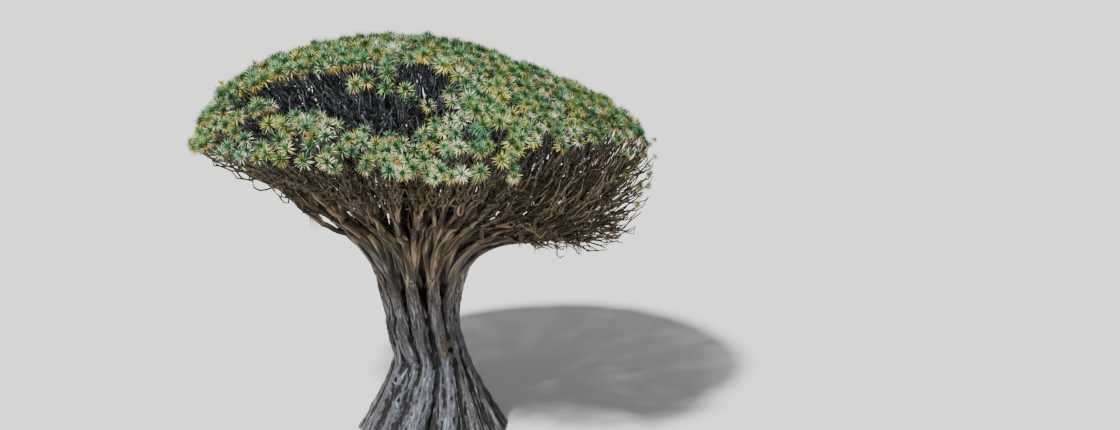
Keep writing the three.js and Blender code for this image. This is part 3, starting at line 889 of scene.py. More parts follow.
# How likely bare twigs at the rim carry a small tuft, and its size
SMALL_TUFTS = 0.8
TUFT_SIZE = 0.62
TUFTS_ABOVE = 11.0
ROSETTES_FROM = 9.5
LARGER_BEHIND = 0.36
LARGER_ON_TOP = 0.14


def crown_rosettes(crown):
    """Where rosettes stand, the way they face and their size."""
    rng = chance("rosettes")
    at_end = np.nonzero(crown["end"] >= 0)[0]
    leafy = crown["leafy"][crown["end"][at_end]]
    tip = crown["tip"][at_end]
    outside = (np.linalg.norm(tip[:, :2], axis=1) > CROWN_REACH * 0.9) & (tip[:, 2] > TUFTS_ABOVE)
    facing = np.maximum(0, tip[:, 0] / CROWN_REACH) ** 6
    tuft = ~leafy & outside & (rng.random(len(at_end)) < SMALL_TUFTS * facing)
    index = at_end[leafy | tuft]
    scale = np.where(tuft[leafy | tuft], TUFT_SIZE, rng.uniform(0.86, 1.12, len(index)))
    tip = crown["tip"][index]
    scale = scale * (1 + LARGER_BEHIND * smoothstep(tip[:, 1], 1.0, 4.5))
    on_top = LARGER_ON_TOP * smoothstep(tip[:, 2], 15.3, 16.6)
    scale = scale * (1 + on_top * smoothstep(tip[:, 1], 4.5, 1.0))
    out = unit(tip - np.array([CROWN_X, 0, ROSETTES_FROM]))
    axes = unit(crown["ahead"][index] * 0.5 + out + rng.normal(0, 0.16, (len(index), 3)))
    return tip, axes, scale


# Fruit

PANICLE_BRANCHES = 9
BERRIES = 7
BERRY_RADIUS = 0.026
BERRY_SCATTER = 0.028
STALK_LENGTHS = (0.28, 0.46)
BRANCH_LENGTHS = (0.14, 0.3)
STALK_THICK = 0.016
BRANCH_THICK = 0.009


def panicle_corners(places, axes, rng):
    """Branched sprays of small round fruit."""
    stalks, fruit = Corners(), Corners()
    lines, thick, berries = [], [], []
    for place, axis in zip(places, axes):
        lean = unit(axis + rng.normal(0, 0.35, 3))
        top = place + lean * rng.uniform(*STALK_LENGTHS)
        lines.append((place, top, lean))
        thick.append(STALK_THICK)
        for branch in range(PANICLE_BRANCHES):
            share = 0.35 + 0.65 * branch / PANICLE_BRANCHES
            foot = lerp(place, top, share)
            way = unit(lean * 0.5 + rng.normal(0, 0.8, 3))
            tip = foot + way * rng.uniform(*BRANCH_LENGTHS) * (1.2 - 0.6 * share)
            lines.append((foot, tip, way))
            thick.append(BRANCH_THICK)
            along = rng.uniform(0.3, 1, BERRIES)[:, None]
            berries.append(foot + (tip - foot) * along + rng.normal(0, BERRY_SCATTER, (BERRIES, 3)))
    foot, tip, way = (np.array(part) for part in zip(*lines))
    curved = hermite(foot, tip, way, unit(way + np.array([0, 0, -0.3])), 2)
    stalks.tubes(curved, np.array(thick)[:, None] * np.array([1, 0.8, 0.5]), 3)
    ball = np.array([(1, 0, 0), (-1, 0, 0), (0, 1, 0), (0, -1, 0), (0, 0, 1), (0, 0, -1)]) * BERRY_RADIUS
    centres = np.concatenate(berries)
    size = rng.uniform(0.7, 1.2, len(centres))[:, None, None]
    faces = [(0, 2, 4), (2, 1, 4), (1, 3, 4), (3, 0, 4), (2, 0, 5), (1, 2, 5), (3, 1, 5), (0, 3, 5)]
    fruit.repeat(centres[:, None] + ball[None] * size, [faces])
    return stalks, fruit


# Bark

# One column runs down the trunk from each outer bough: direction in degrees at the ground and at the
# waist, how far it stands out there, and its half width in degrees
COLUMNS = (
    (10, 17, 0.3, 0.15, 10),
    (40, 50, 0.34, 0.15, 9),
    (79, 73, 0.3, 0.17, 10),
    (101, 108, 0.36, 0.14, 9),
    (139, 131, 0.3, 0.16, 10),
    (163, 170, 0.34, 0.21, 9),
    (202, 207, 0.3, 0.26, 9),
    (221, 232, 0.26, 0.16, 8),
    (247, 265, 0.44, 0.21, 10),
    (282, 299, 0.44, 0.21, 9),
    (310, 320, 0.26, 0.15, 8),
    (340, 346, 0.3, 0.19, 9),
)

# Hollows between the columns: direction in degrees, lowest and highest place, half width, depth
HOLLOWS = (
    (248, 3.1, 6.8, 6, 0.36),
    (282, 4.5, 6.8, 5, 0.28),
    (267, 0.3, 2.6, 5, 0.3),
    (331, 3.3, 5.4, 5, 0.32),
    (229, 2.5, 3.9, 8, 0.24),
    (219, 4.2, 6.9, 4, 0.2),
    (309, 5.2, 7.0, 4, 0.2),
    (33, 3.0, 6.6, 8, 0.3),
    (62, 4.4, 7.0, 5, 0.24),
    (90, 2.6, 5.8, 7, 0.28),
    (120, 4.0, 7.0, 6, 0.26),
    (150, 2.8, 6.0, 8, 0.3),
    (186, 3.4, 6.6, 6, 0.26),
    (0, 3.8, 6.6, 6, 0.22),
)

# Columns that stay smooth below a height
SMOOTH_COLUMNS = (8, 9)
SMOOTH_BELOW = 3.5
COLUMN_TOP = 6.0
COLUMN_MERGE = (4.4, 5.4)
COLUMN_SOFTENED = 34
BOUGH_CLEAR = 7.9
# Where a bough's stout line starts to thin and where it ends, as shares of the bough
BOUGH_THINS = (PARTED - 0.2, PARTED + 0.16)
CORE_TOP = FORK_HEIGHT + 0.2
CORE_INSET = 0.14
CORE_TAPER = 0.9
CORE_SIDES = 144
CORE_LEVELS = 60
GROUND_CUT = 0.3
STRAND_STEP = 0.16
# Ribs along a column and along an inner bough: how many, and their share of its thickness
COLUMN_RIBS = (12, 0.19)
BOUGH_RIBS = (8, 0.22)
STRANDS = 420
STRAND_ENDS = (5.5, 6.8)
ROOTS_IN_TANGLE = 70
TANGLE_SIDE = (190, 244)
# The knot's eye on the front: x, height, half width, half height, how far it stands out
KNOT = (0.78, 4.36, 0.3, 0.38, 0.26)
# The swollen rims round it: share of its size, and thickness
KNOT_RIMS = ((0.95, 0.085), (0.5, 0.05))
# How grooves are found: rounds of smoothing for fine and for wide ones, and how strongly each counts
FINE_GROOVES = (8, 12)
WIDE_GROOVES = (64, 5.0)
KEPT_FACES = 0.56


def swelling(azimuth, direction, half):
    """1 in a direction, and down to 0 to either side of it."""
    away = (np.degrees(azimuth) - direction + 180) % 360 - 180
    return np.exp(-((away / half) ** 2))


def column_direction(number, height):
    """The direction of a column in degrees, which comes under its bough at the trunk's top."""
    top = OUTER_RING["turn"] + 360 / OUTER_RING["count"] * number
    low = lerp(COLUMNS[number][0], COLUMNS[number][1], smoothstep(height, 0, WAIST))
    return lerp(low, top, smoothstep(height, 5.2, FORK_HEIGHT + 0.6))


def trunk_relief(azimuth, height):
    """Columns that stand out of the trunk, and the hollows between them."""
    up = smoothstep(height, 0, WAIST)
    relief = -lerp(LOBE_SINK, RIB_SINK, up)
    for number, (_, _, lobe, rib, half) in enumerate(COLUMNS):
        relief = relief + lerp(lobe, rib, up) * swelling(azimuth, column_direction(number, height), half)
    for direction, low, high, half, deep in HOLLOWS:
        tall = smoothstep(height, low - HOLLOW_FADE, low + HOLLOW_FADE)
        tall = tall * (1 - smoothstep(height, high - HOLLOW_FADE, high + HOLLOW_FADE))
        relief = relief - deep * tall * swelling(azimuth, direction, half)
    return relief


def trunk_radius(azimuth, height):
    """The surface of the solid trunk: a flared foot, columns and hollows, and a wider top."""
    height = np.maximum(0, height)
    flare = np.maximum(0, 1 - height / FOOT_HEIGHT) ** FLARE_CURVE
    spread = TOP_SPREAD * (np.maximum(0, height - SPREAD_FROM) / (FORK_HEIGHT - SPREAD_FROM)) ** 2
    return WAIST_RADIUS + (FOOT_RADIUS - WAIST_RADIUS) * flare + spread + trunk_relief(azimuth, height)


def trunk_x(height):
    return TRUNK_LEAN * smoothstep(height, *LEAN_HEIGHTS)


def on_trunk(azimuth, height, inset):
    """Points on the trunk's surface, or inset below it."""
    radius = trunk_radius(azimuth, height) - inset
    return np.stack([trunk_x(height) + radius * np.cos(azimuth), radius * np.sin(azimuth), height], axis=-1)


def tapered(thick):
    """The same thickness, but thin at both ends."""
    share = np.linspace(0, 1, len(thick))
    return thick * (0.15 + 0.85 * np.minimum(1, 5 * np.minimum(share, 1 - share)))


def trunk_core(corners):
    """A plain trunk below the surface, so that no gap is left between the lines over it."""
    turn = np.arange(CORE_SIDES) / CORE_SIDES * FULL_TURN
    heights = np.linspace(-GROUND_CUT, CORE_TOP, CORE_LEVELS + 1)
    insets = CORE_INSET + CORE_TAPER * smoothstep(heights, 6.0, CORE_TOP)
    rings = [on_trunk(turn, np.full(CORE_SIDES, height), inset) for height, inset in zip(heights, insets)]
    corners.repeat(np.array(rings).reshape(1, -1, 3), tube_faces(CORE_SIDES, CORE_LEVELS))


def column_lines(boughs, rng):
    """Each outer bough with its column: one stout line from the ground to where its limbs part."""
    outer = [bough for bough in boughs if bough["ring"] is OUTER_RING]
    lines = []
    for number, bough in enumerate(outer):
        heights = np.linspace(-GROUND_CUT, COLUMN_TOP, 28)
        direction = np.radians(column_direction(number, heights)) + slow_sway(heights, 0.025, rng)
        thick = trunk_radius(direction, heights) * math.radians(COLUMNS[number][4]) * 0.9
        thick = thick * (1 + slow_sway(heights, 0.1, rng))
        low = on_trunk(direction, heights, thick + 0.11)
        shares = np.linspace(0, BOUGH_THINS[1], 40)
        path = bezier(bough["points"], shares)
        clear = path[:, 2] > BOUGH_CLEAR
        high = path[clear]
        high_thick = OUTER_RING["thick"] * lerp(0.92, 0.1, smoothstep(shares[clear], *BOUGH_THINS))
        line, thick = even(np.concatenate([low, high]), np.concatenate([thick, high_thick]), STRAND_STEP)
        pull = smoothstep(line[1:-1, 2], *COLUMN_MERGE) / 2
        for _ in range(COLUMN_SOFTENED):
            line[1:-1] = lerp(line[1:-1], (line[:-2] + line[2:]) / 2, pull[:, None])
            thick[1:-1] = lerp(thick[1:-1], (thick[:-2] + thick[2:]) / 2, pull)
        lines.append((line, thick))
    return lines


def inner_lines(boughs):
    """The inner boughs, from inside the trunk's top to where their limbs part."""
    lines = []
    shares = np.linspace(0, BOUGH_THINS[1], 14)
    for bough in boughs:
        if bough["ring"] is not OUTER_RING:
            thick = bough["ring"]["thick"] * lerp(0.9, 0.1, smoothstep(shares, *BOUGH_THINS))
            lines.append(even(bezier(bough["points"], shares), thick, STRAND_STEP))
    return lines


def rib_lines(lines, count, share, rng, low=0.0):
    """Thinner ribs that wind along the outside of other lines, from a height up."""
    ribs = []
    for line, thick in lines:
        frames = rings_along(line[None], np.ones((1, len(line))), 4)[0] - line[:, None]
        length = np.arange(len(line)) * STRAND_STEP
        for k in range(count):
            turn = FULL_TURN * (k + rng.uniform(-0.3, 0.3)) / count + slow_sway(length, 0.3, rng)
            out = frames[:, 0] * np.cos(turn)[:, None] + frames[:, 1] * np.sin(turn)[:, None]
            size = thick * share * rng.uniform(0.65, 1.25) * (1 + slow_sway(length, 0.3, rng))
            middle = line + out * (thick - size * 0.3)[:, None]
            first = int(rng.integers(0, len(line) // 3))
            first = max(first, int(np.searchsorted(line[:, 2], low)))
            last = len(line) - int(rng.integers(0, len(line) // 5))
            if last - first > 4:
                ribs.append((middle[first:last], tapered(size[first:last])))
    return ribs


def between_columns(place, heights):
    """A direction that flows down the trunk with the columns, at a place counted from column to column."""
    number = int(place) % len(COLUMNS)
    after = (number + 1) % len(COLUMNS)
    low = column_direction(number, heights)
    high = column_direction(after, heights) + (0 if after else 360)
    return np.radians(lerp(low, high, place % 1))


def trunk_strands(rng):
    """Thin strands that flow down the trunk with the columns, most of them over the foot."""
    lines = []
    for number in range(STRANDS):
        if number % 2:
            low, high = -GROUND_CUT, rng.uniform(1.4, 4.6)
        else:
            low = rng.uniform(0.5, 4.6)
            high = low + rng.uniform(1.5, 3.5)
        heights = np.linspace(low, min(high, rng.uniform(*STRAND_ENDS)), 22)
        azimuth = between_columns(rng.uniform(0, len(COLUMNS)), heights) + slow_sway(heights, 0.025, rng)
        azimuth = azimuth + rng.uniform(-0.03, 0.03) * (heights - low)
        thick = rng.uniform(0.022, 0.06) * (1 + 0.4 * (1 - heights / 7))
        inset = thick * rng.uniform(-0.3, 1.2) + 0.07 + 0.3 * smoothstep(heights, 5.7, 6.8)
        lines.append((on_trunk(azimuth, heights, inset), tapered(thick)))
    return lines


def tangled_roots(rng):
    """Fine roots that cross each other low on the side that the crown overhangs most."""
    lines = []
    for _ in range(ROOTS_IN_TANGLE):
        low = rng.uniform(0, 2)
        heights = np.linspace(low, low + rng.uniform(1.0, 2.2), 14)
        azimuth = np.radians(rng.uniform(*TANGLE_SIDE)) + slow_sway(heights * 2.2, 0.07, rng)
        thick = np.full(len(heights), rng.uniform(0.03, 0.055))
        lines.append((on_trunk(azimuth, heights, thick * 0.3), tapered(thick)))
    return lines


def line_frame(lines):
    """Points, directions, lengths along and numbers of all lines, for the grain of the bark."""
    points, ways, lengths, numbers = [], [], [], []
    for number, (line, _) in enumerate(lines):
        steps = np.linalg.norm(np.diff(line, axis=0), axis=1)
        length = np.concatenate([[0], np.cumsum(steps)])
        fine = np.arange(0, length[-1], 0.08)
        points.append(np.stack([np.interp(fine, length, line[:, k]) for k in range(3)], axis=-1))
        ways.append(unit(np.gradient(points[-1], axis=0)))
        lengths.append(fine)
        numbers.append(np.full(len(fine), number))
    return tuple(np.concatenate(part) for part in (points, ways, lengths, numbers))


def grain_places(places, lines):
    """Places in a frame that runs along the nearest line, drawn together along its length."""
    points, ways, lengths, numbers = line_frame(lines)
    tree = KDTree(len(points))
    for index, point in enumerate(points):
        tree.insert(point, index)
    tree.balance()
    nearest = np.array([tree.find(place)[1] for place in places])
    way = ways[nearest]
    offset = places - points[nearest]
    along = (offset * way).sum(axis=1)
    across = offset - way * along[:, None]
    length = lengths[nearest] + along
    return across + way * (length * GRAIN_STRETCH)[:, None] + numbers[nearest][:, None] * 1.37


def bark_relief(places, grain, height):
    """How far the bark stands out: ridges along the wood, broken by short cracks."""
    coarse = ridges(grain * 8, 3)
    fine = ridges(grain * 16, 8)
    lumps = noise(places * 1.6, 21) + 0.5 * noise(places * 4.2, 5) - 0.75
    return (coarse - 0.6) * height * 1.3 + (fine - 0.6) * height * 0.8 + lumps * 0.06


def knot_rings():
    """Swollen rims round the knot's eye, as lines on the trunk's front."""
    x, height, wide, tall, _ = KNOT
    turn = np.linspace(0, FULL_TURN, 24)
    rings = []
    for size, thick in KNOT_RIMS:
        heights = height + tall * size * np.sin(turn)
        aside = x + wide * size * np.cos(turn) - trunk_x(heights)
        azimuth = -np.arccos(aside / WAIST_RADIUS)
        rings.append((on_trunk(azimuth, heights, -0.02), np.full(len(turn), thick)))
    return rings


def knot_relief(places):
    """A swelling with a sunk middle."""
    x, height, wide, tall, stand = KNOT
    away = ((places[:, 0] - x) / wide) ** 2 + ((places[:, 2] - height) / tall) ** 2
    front = smoothstep(-places[:, 1], 0.4, 1.0)
    return stand * front * (np.exp(-away) - 1.15 * np.exp(-away * 3.5))


def neighbour_mean(values, edges, count):
    """The mean of each corner's neighbours."""
    degree = np.bincount(edges.ravel(), minlength=count)
    flat = values.reshape(count, -1)
    total = np.empty_like(flat)
    for k in range(flat.shape[1]):
        total[:, k] = np.bincount(edges[:, 0], flat[edges[:, 1], k], count)
        total[:, k] += np.bincount(edges[:, 1], flat[edges[:, 0], k], count)
    return (total / np.maximum(degree, 1)[:, None]).reshape(values.shape)


def read_mesh(mesh):
    """The places and normals of a mesh's corners, and the corners of its edges."""
    places, normals = np.empty((2, len(mesh.vertices) * 3), np.float32)
    edges = np.empty(len(mesh.edges) * 2, np.int32)
    mesh.vertices.foreach_get("co", places)
    mesh.vertices.foreach_get("normal", normals)
    mesh.edges.foreach_get("vertices", edges)
    places, normals = (part.reshape(-1, 3).astype(float) for part in (places, normals))
    return places, normals, edges.reshape(-1, 2)


def set_places(mesh, places):
    """Moves a mesh's corners to places, none of them below the ground."""
    places[:, 2] = np.maximum(places[:, 2], 0)
    mesh.vertices.foreach_set("co", places.astype(np.float32).ravel())
    mesh.update()


def hollows(places, normals, edges):
    """0 on ridges to 1 deep in grooves, from how far the surface lies under its surroundings."""
    count = len(places)
    depth = np.zeros(count)
    wide = places
    done = 0
    for rounds, strength in (FINE_GROOVES, WIDE_GROOVES):
        for _ in range(rounds - done):
            wide = neighbour_mean(wide, edges, count)
        depth += ((wide - places) * normals).sum(axis=1) * strength
        done = rounds
    return np.clip(0.5 + neighbour_mean(depth, edges, count), 0, 1)


def modified(mesh, kind, **values):
    """The mesh that a modifier makes of a mesh."""
    rough = bpy.data.objects.new("rough", mesh)
    bpy.context.scene.collection.objects.link(rough)
    modifier = rough.modifiers.new(kind, kind)
    for name, value in values.items():
        setattr(modifier, name, value)
    graph = bpy.context.evaluated_depsgraph_get()
    made = bpy.data.meshes.new_from_object(rough.evaluated_get(graph))
    bpy.data.objects.remove(rough)
    return made


def fused_mesh(corners, grain):
    """Joins overlapping closed shapes into one skin of even faces."""
    mesh = modified(corners.mesh("rough"), "REMESH", mode="VOXEL", voxel_size=grain)
    return modified(mesh, "SMOOTH", factor=0.5, iterations=1)


def bark_mesh(settings):
    """One mesh with the bark's relief for the trunk and the feet of all boughs."""
    rng = chance("bark")
    boughs = plan_boughs()
    corners = Corners()
    trunk_core(corners)
    columns = column_lines(boughs, rng)
    inner = inner_lines(boughs)
    smooth = [column for number, column in enumerate(columns) if number in SMOOTH_COLUMNS]
    rough = [column for number, column in enumerate(columns) if number not in SMOOTH_COLUMNS]
    ribs = rib_lines(rough, *COLUMN_RIBS, rng) + rib_lines(smooth, *COLUMN_RIBS, rng, SMOOTH_BELOW)
    ribs += rib_lines(inner, *BOUGH_RIBS, rng)
    lines = columns + inner + ribs + trunk_strands(rng) + tangled_roots(rng) + knot_rings()
    for line, thick in lines:
        corners.tubes(line[None], thick[None], 12 if thick.max() > 0.15 else 8)
    mesh = fused_mesh(corners, settings.grain)
    places, normals, _ = read_mesh(mesh)
    grain = grain_places(places, lines)
    slim = smoothstep(places[:, 2], 7.0, 9.5)
    relief = bark_relief(places, grain, settings.relief) * lerp(1, 0.6, slim) + knot_relief(places)
    set_places(mesh, places + normals * relief[:, None])
    add_marks(mesh, grain, hollows(*read_mesh(mesh)))
    mesh = modified(mesh, "DECIMATE", ratio=KEPT_FACES)
    set_places(mesh, read_mesh(mesh)[0])
    mesh.shade_smooth()
    return mesh


# Hanging roots

ROOT_HEIGHT = 0.9
ROOT_LENGTHS = (0.25, 0.95)
ROOT_THICK = (0.012, 0.024)


def root_hosts(crown):
    """Places on the crown's underside where roots may hang: low limbs and stout twigs."""
    tip = crown["tip"]
    low = tip[:, 2] < underside(tip) + ROOT_HEIGHT
    chosen = (crown["thick"] > 0.045) & low & (np.linalg.norm(tip[:, :2], axis=1) > 2.5)
    tip = tip[chosen]
    likely = 0.3 + within(BARE_SIDE, np.arctan2(tip[:, 1], tip[:, 0]))
    return tip, likely / likely.sum()


def root_corners(settings, crown):
    """Tufts of thin roots that hang from the undersides of low limbs."""
    rng = chance("roots")
    hosts, likely = root_hosts(crown)
    chosen = rng.choice(len(hosts), min(settings.root_tufts, len(hosts)), replace=False, p=likely)
    foot, tip, thick = [], [], []
    for host in hosts[chosen]:
        length = rng.uniform(*ROOT_LENGTHS)
        for _ in range(rng.integers(8, 18)):
            start = host + rng.normal(0, 0.045, 3)
            reach = length * rng.uniform(0.4, 1)
            foot.append(start)
            tip.append(start + np.array([rng.normal(0, 0.09), rng.normal(0, 0.09), -1]) * reach)
            thick.append(rng.uniform(*ROOT_THICK))
    foot, tip = np.array(foot), np.array(tip)
    down = np.tile((0.0, 0.0, -1.0), (len(foot), 1))
    lines = hermite(foot, tip, down, down, 3)
    corners = Corners()
    corners.tubes(lines, np.array(thick)[:, None] * np.array([1, 0.9, 0.7, 0.25]), 4)
    return corners


# Materials

# Dark and light tones of the wood, lower down and up in the crown, where grey bark is darkened and tinted
# blue as painted sky-lit shade
TWIG_TONES = ((0.011, 0.007, 0.003), (0.135, 0.1, 0.056))
SHADED_HIGH_TWIG_TONES = ((0.004, 0.004, 0.005), (0.105, 0.115, 0.13))
HIGH_TWIGS = (13.0, 14.8)
STALK_TONES = ((0.3, 0.16, 0.04), (0.5, 0.3, 0.08))
ROOT_TONES = ((0.1, 0.06, 0.035), (0.24, 0.16, 0.1))
FRUIT_TONES = ((0.34, 0.13, 0.03), (0.44, 0.28, 0.07))


def shade(color, share):
    """A darker or lighter tone of a colour."""
    return tuple(min(1, value * share) for value in color)


def feed(tree, socket, value):
    """Joins another socket to a socket, or gives it a plain value."""
    if isinstance(value, bpy.types.NodeSocket):
        tree.links.new(value, socket)
    elif socket.type == "RGBA":
        socket.default_value = (*value, 1)
    else:
        socket.default_value = value


def node(tree, kind, **values):
    """A node with its properties set and its inputs fed, whose names have underscores for spaces."""
    made = tree.nodes.new(kind)
    for name, value in values.items():
        if hasattr(made, name):
            setattr(made, name, value)
        else:
            feed(tree, made.inputs[name.replace("_", " ")], value)
    return made


def calculate(tree, kind, operation, *given):
    """The outputs of a sum of numbers or vectors."""
    made = node(tree, kind, operation=operation)
    for socket, value in zip(made.inputs, given):
        feed(tree, socket, value)
    return made.outputs


def product(tree, first, *others):
    for other in others:
        first = calculate(tree, "ShaderNodeMath", "MULTIPLY", first, other)[0]
    return first


def map_range(tree, value, low, high, least=0.0, most=1.0):
    """A value drawn from one range to another."""
    ends = {"From_Min": low, "From_Max": high, "To_Min": least, "To_Max": most}
    return node(tree, "ShaderNodeMapRange", Value=value, **ends).outputs[0]


def mix_colors(tree, factor, low, high):
    """A colour between two, which are colours or sockets."""
    mix = node(tree, "ShaderNodeMix", data_type="RGBA")
    for number, value in ((0, factor), (6, low), (7, high)):
        feed(tree, mix.inputs[number], value)
    return mix.outputs[2]


def new_group(name, inputs, outputs):
    """A node group from a vector and some numbers to other numbers, with the sockets inside it."""
    tree = bpy.data.node_groups.new(name, "ShaderNodeTree")
    tree.interface.new_socket(name="Vector", in_out="INPUT", socket_type="NodeSocketVector")
    for title, value in inputs.items():
        socket = tree.interface.new_socket(name=title, in_out="INPUT", socket_type="NodeSocketFloat")
        socket.default_value = value
    for title in outputs:
        tree.interface.new_socket(name=title, in_out="OUTPUT", socket_type="NodeSocketFloat")
    return tree, tree.nodes.new("NodeGroupInput").outputs, tree.nodes.new("NodeGroupOutput").inputs


def wood_grain_group():
    """Streaks along the wood, blotches and a height for bumps. Shared by bark, twigs and roots."""
    name = "Dragon wood grain"
    if name in bpy.data.node_groups:
        return bpy.data.node_groups[name]
    inputs = {"Across": 9.0, "Along": 1.2, "Blotches": 1.5}
    tree, given, result = new_group(name, inputs, ("Streaks", "Blotch", "Roughness", "Height"))
    place = given["Vector"]
    stretch = node(tree, "ShaderNodeCombineXYZ", X=given["Across"], Y=given["Across"], Z=given["Along"])
    drawn_out = calculate(tree, "ShaderNodeVectorMath", "MULTIPLY", place, stretch.outputs[0])[0]
    streaks = node(tree, "ShaderNodeTexNoise", Vector=drawn_out, Scale=1.0, Detail=5.0, Roughness=0.62,
                   Distortion=0.5).outputs["Fac"]
    blotch = node(tree, "ShaderNodeTexNoise", Vector=place, Scale=given["Blotches"], Detail=3.0,
                  Roughness=0.55).outputs["Fac"]
    clear = map_range(tree, streaks, 0.36, 0.66)
    feed(tree, result["Streaks"], clear)
    feed(tree, result["Blotch"], map_range(tree, blotch, 0.42, 0.66))
    feed(tree, result["Roughness"], map_range(tree, clear, 0.0, 1.0, 0.95, 0.7))
    feed(tree, result["Height"], streaks)
    return tree


def leaf_mottle_group():
    """A slow change of shade from rosette to rosette and along blades. Shared by all leaves and fruit."""
    name = "Dragon leaf mottle"
    if name in bpy.data.node_groups:
        return bpy.data.node_groups[name]
    tree, given, result = new_group(name, {"Size": 2.0}, ("Mottle", "Roughness"))
    spots = node(tree, "ShaderNodeTexNoise", Vector=given["Vector"], Scale=given["Size"], Detail=2.0,
                 Roughness=0.6)
    clear = map_range(tree, spots.outputs["Fac"], 0.32, 0.68)
    feed(tree, result["Mottle"], clear)
    feed(tree, result["Roughness"], map_range(tree, clear, 0.0, 1.0, 0.3, 0.5))
    return tree


def new_material(name):
    """A material with its Principled shader, and the place on the object as a vector."""
    material = bpy.data.materials.new(name)
    material.use_nodes = True
    tree = material.node_tree
    shader = tree.nodes["Principled BSDF"]
    place = tree.nodes.new("ShaderNodeTexCoord").outputs["Object"]
    return material, tree, shader, place


def finish_wood(tree, shader, grain, color, specular, depth):
    """Joins a colour and the roughness and bumps of the grain to the shader."""
    bump = node(tree, "ShaderNodeBump", Strength=0.8, Distance=depth, Height=grain.outputs["Height"])
    feed(tree, shader.inputs["Base Color"], color)
    feed(tree, shader.inputs["Roughness"], grain.outputs["Roughness"])
    feed(tree, shader.inputs["Specular IOR Level"], specular)
    feed(tree, shader.inputs["Normal"], bump.outputs["Normal"])


def wood_material(name, tones, across, along, depth, shaded_high_tones=None):
    """Plain wood for twigs, stalks and roots. Up the crown it may turn to darker, bluer tones of painted
    shade.
    """
    material, tree, shader, place = new_material(name)
    grain = node(tree, "ShaderNodeGroup", node_tree=wood_grain_group(), Vector=place,
                 Across=across, Along=along)
    color = mix_colors(tree, grain.outputs["Streaks"], *tones)
    if shaded_high_tones:
        # Up in the crown: grey bark darkened and tinted blue as painted shade
        height = node(tree, "ShaderNodeSeparateXYZ", Vector=place).outputs["Z"]
        high = mix_colors(tree, grain.outputs["Streaks"], *shaded_high_tones)
        color = mix_colors(tree, map_range(tree, height, *HIGH_TWIGS), color, high)
    finish_wood(tree, shader, grain, color, 0.3, depth)
    return material


def bark_material(settings):
    """Grey fluted bark that turns warm up the boughs and pale on the lobes, with painted highlights on the
    crests and painted shade in the grooves.
    """
    material, tree, shader, place = new_material("dragon_bark")
    run = node(tree, "ShaderNodeAttribute", attribute_name="grain").outputs["Vector"]
    cavity = node(tree, "ShaderNodeAttribute", attribute_name="cavity").outputs["Fac"]
    grain = node(tree, "ShaderNodeGroup", node_tree=wood_grain_group(), Vector=run, Across=5.5, Along=5.5,
                 Blotches=1.7)
    streaks, blotch = grain.outputs["Streaks"], grain.outputs["Blotch"]
    across, behind, height = node(tree, "ShaderNodeSeparateXYZ", Vector=place).outputs
    grey, warm, pale = (
        mix_colors(tree, streaks, shade(color, dark), color)
        for color, dark in ((settings.grey, 0.1), (settings.warm, 0.1), (settings.pale, 0.22))
    )
    # Warm blotches on grey, and the pale lobes low on the front
    warmth = product(tree, blotch, map_range(tree, height, 3.0, 5.0, 0.1, 0.7))
    left = map_range(tree, across, -2.2, -1.7, 0.15, 1.0)
    right = map_range(tree, across, 1.4, 0.9, 0.1, 1.0)
    paleness = product(
        tree, map_range(tree, behind, -0.7, -1.5, 0.15, 1.0), product(tree, left, right),
        map_range(tree, height, 4.8, 3.6, 0.0, 0.9), map_range(tree, blotch, 0.0, 0.7, 0.35, 1.0),
    )
    whole = mix_colors(tree, paleness, mix_colors(tree, warmth, grey, warm), pale)
    # Warm boughs, from higher up towards the sides
    aside = calculate(tree, "ShaderNodeMath", "ABSOLUTE", across)[0]
    aside = calculate(tree, "ShaderNodeMath", "MINIMUM", aside, 1.7)[0]
    level = calculate(tree, "ShaderNodeMath", "SUBTRACT", height, aside)[0]
    whole = mix_colors(tree, map_range(tree, level, 6.2, 8.2, 0.0, 0.9), whole, warm)
    # Painted highlights on the crests, the warm knot, and painted shade in the grooves
    # Painted highlight on the crests between grooves: pale low down, warm and bright higher up
    crest_highlight_mask = product(tree, map_range(tree, cavity, 0.46, 0.2), map_range(tree, streaks, 0.42, 0.85))
    crest_highlight = mix_colors(tree, map_range(tree, height, 5.8, 8.2), settings.pale, shade(settings.warm, 1.95))
    whole = mix_colors(tree, crest_highlight_mask, whole, crest_highlight)
    eye = (KNOT[0], -WAIST_RADIUS, KNOT[1])
    away = calculate(tree, "ShaderNodeVectorMath", "DISTANCE", place, eye)["Value"]
    whole = mix_colors(tree, map_range(tree, away, 0.56, 0.4, 0.0, 0.6), whole, warm)
    # Painted shade: near black deep in the grooves, with the grain showing through
    deep = mix_colors(tree, streaks, settings.crevice_shade, shade(settings.grey, 0.17))
    whole = mix_colors(tree, map_range(tree, cavity, 0.38, 0.62), whole, deep)
    finish_wood(tree, shader, grain, whole, 0.25, 0.14)
    return material


def mottled_material(name, dark, light, size=2.0, roughness=None):
    """A plain colour, a little lighter and darker from place to place."""
    material, tree, shader, place = new_material(name)
    mottle = node(tree, "ShaderNodeGroup", node_tree=leaf_mottle_group(), Vector=place, Size=size).outputs
    feed(tree, shader.inputs["Base Color"], mix_colors(tree, mottle["Mottle"], dark, light))
    feed(tree, shader.inputs["Roughness"], roughness or mottle["Roughness"])
    return material


def leaf_material(name, color):
    return mottled_material(name, shade(color, 0.75), shade(color, 1.3))


# Operators

FLOOR_SIZE = 1500.0
# Each light's name, where it comes from, its strength and its softness in degrees
LIGHTS = (
    ("key_light", (-0.5, -0.62, 0.95), 8.4, 5),
    ("fill_light", (0.9, -0.5, 0.6), 0.5, 60),
)
SKY = (0.9, 0.94, 1.0, 1)
SKY_STRENGTH = 0.22
grown = {}


def crown_of(settings):
    """The crown's twigs, grown once for all operators that need them."""
    if "crown" not in grown:
        grown["crown"] = grow_crown(settings)
    return grown["crown"]


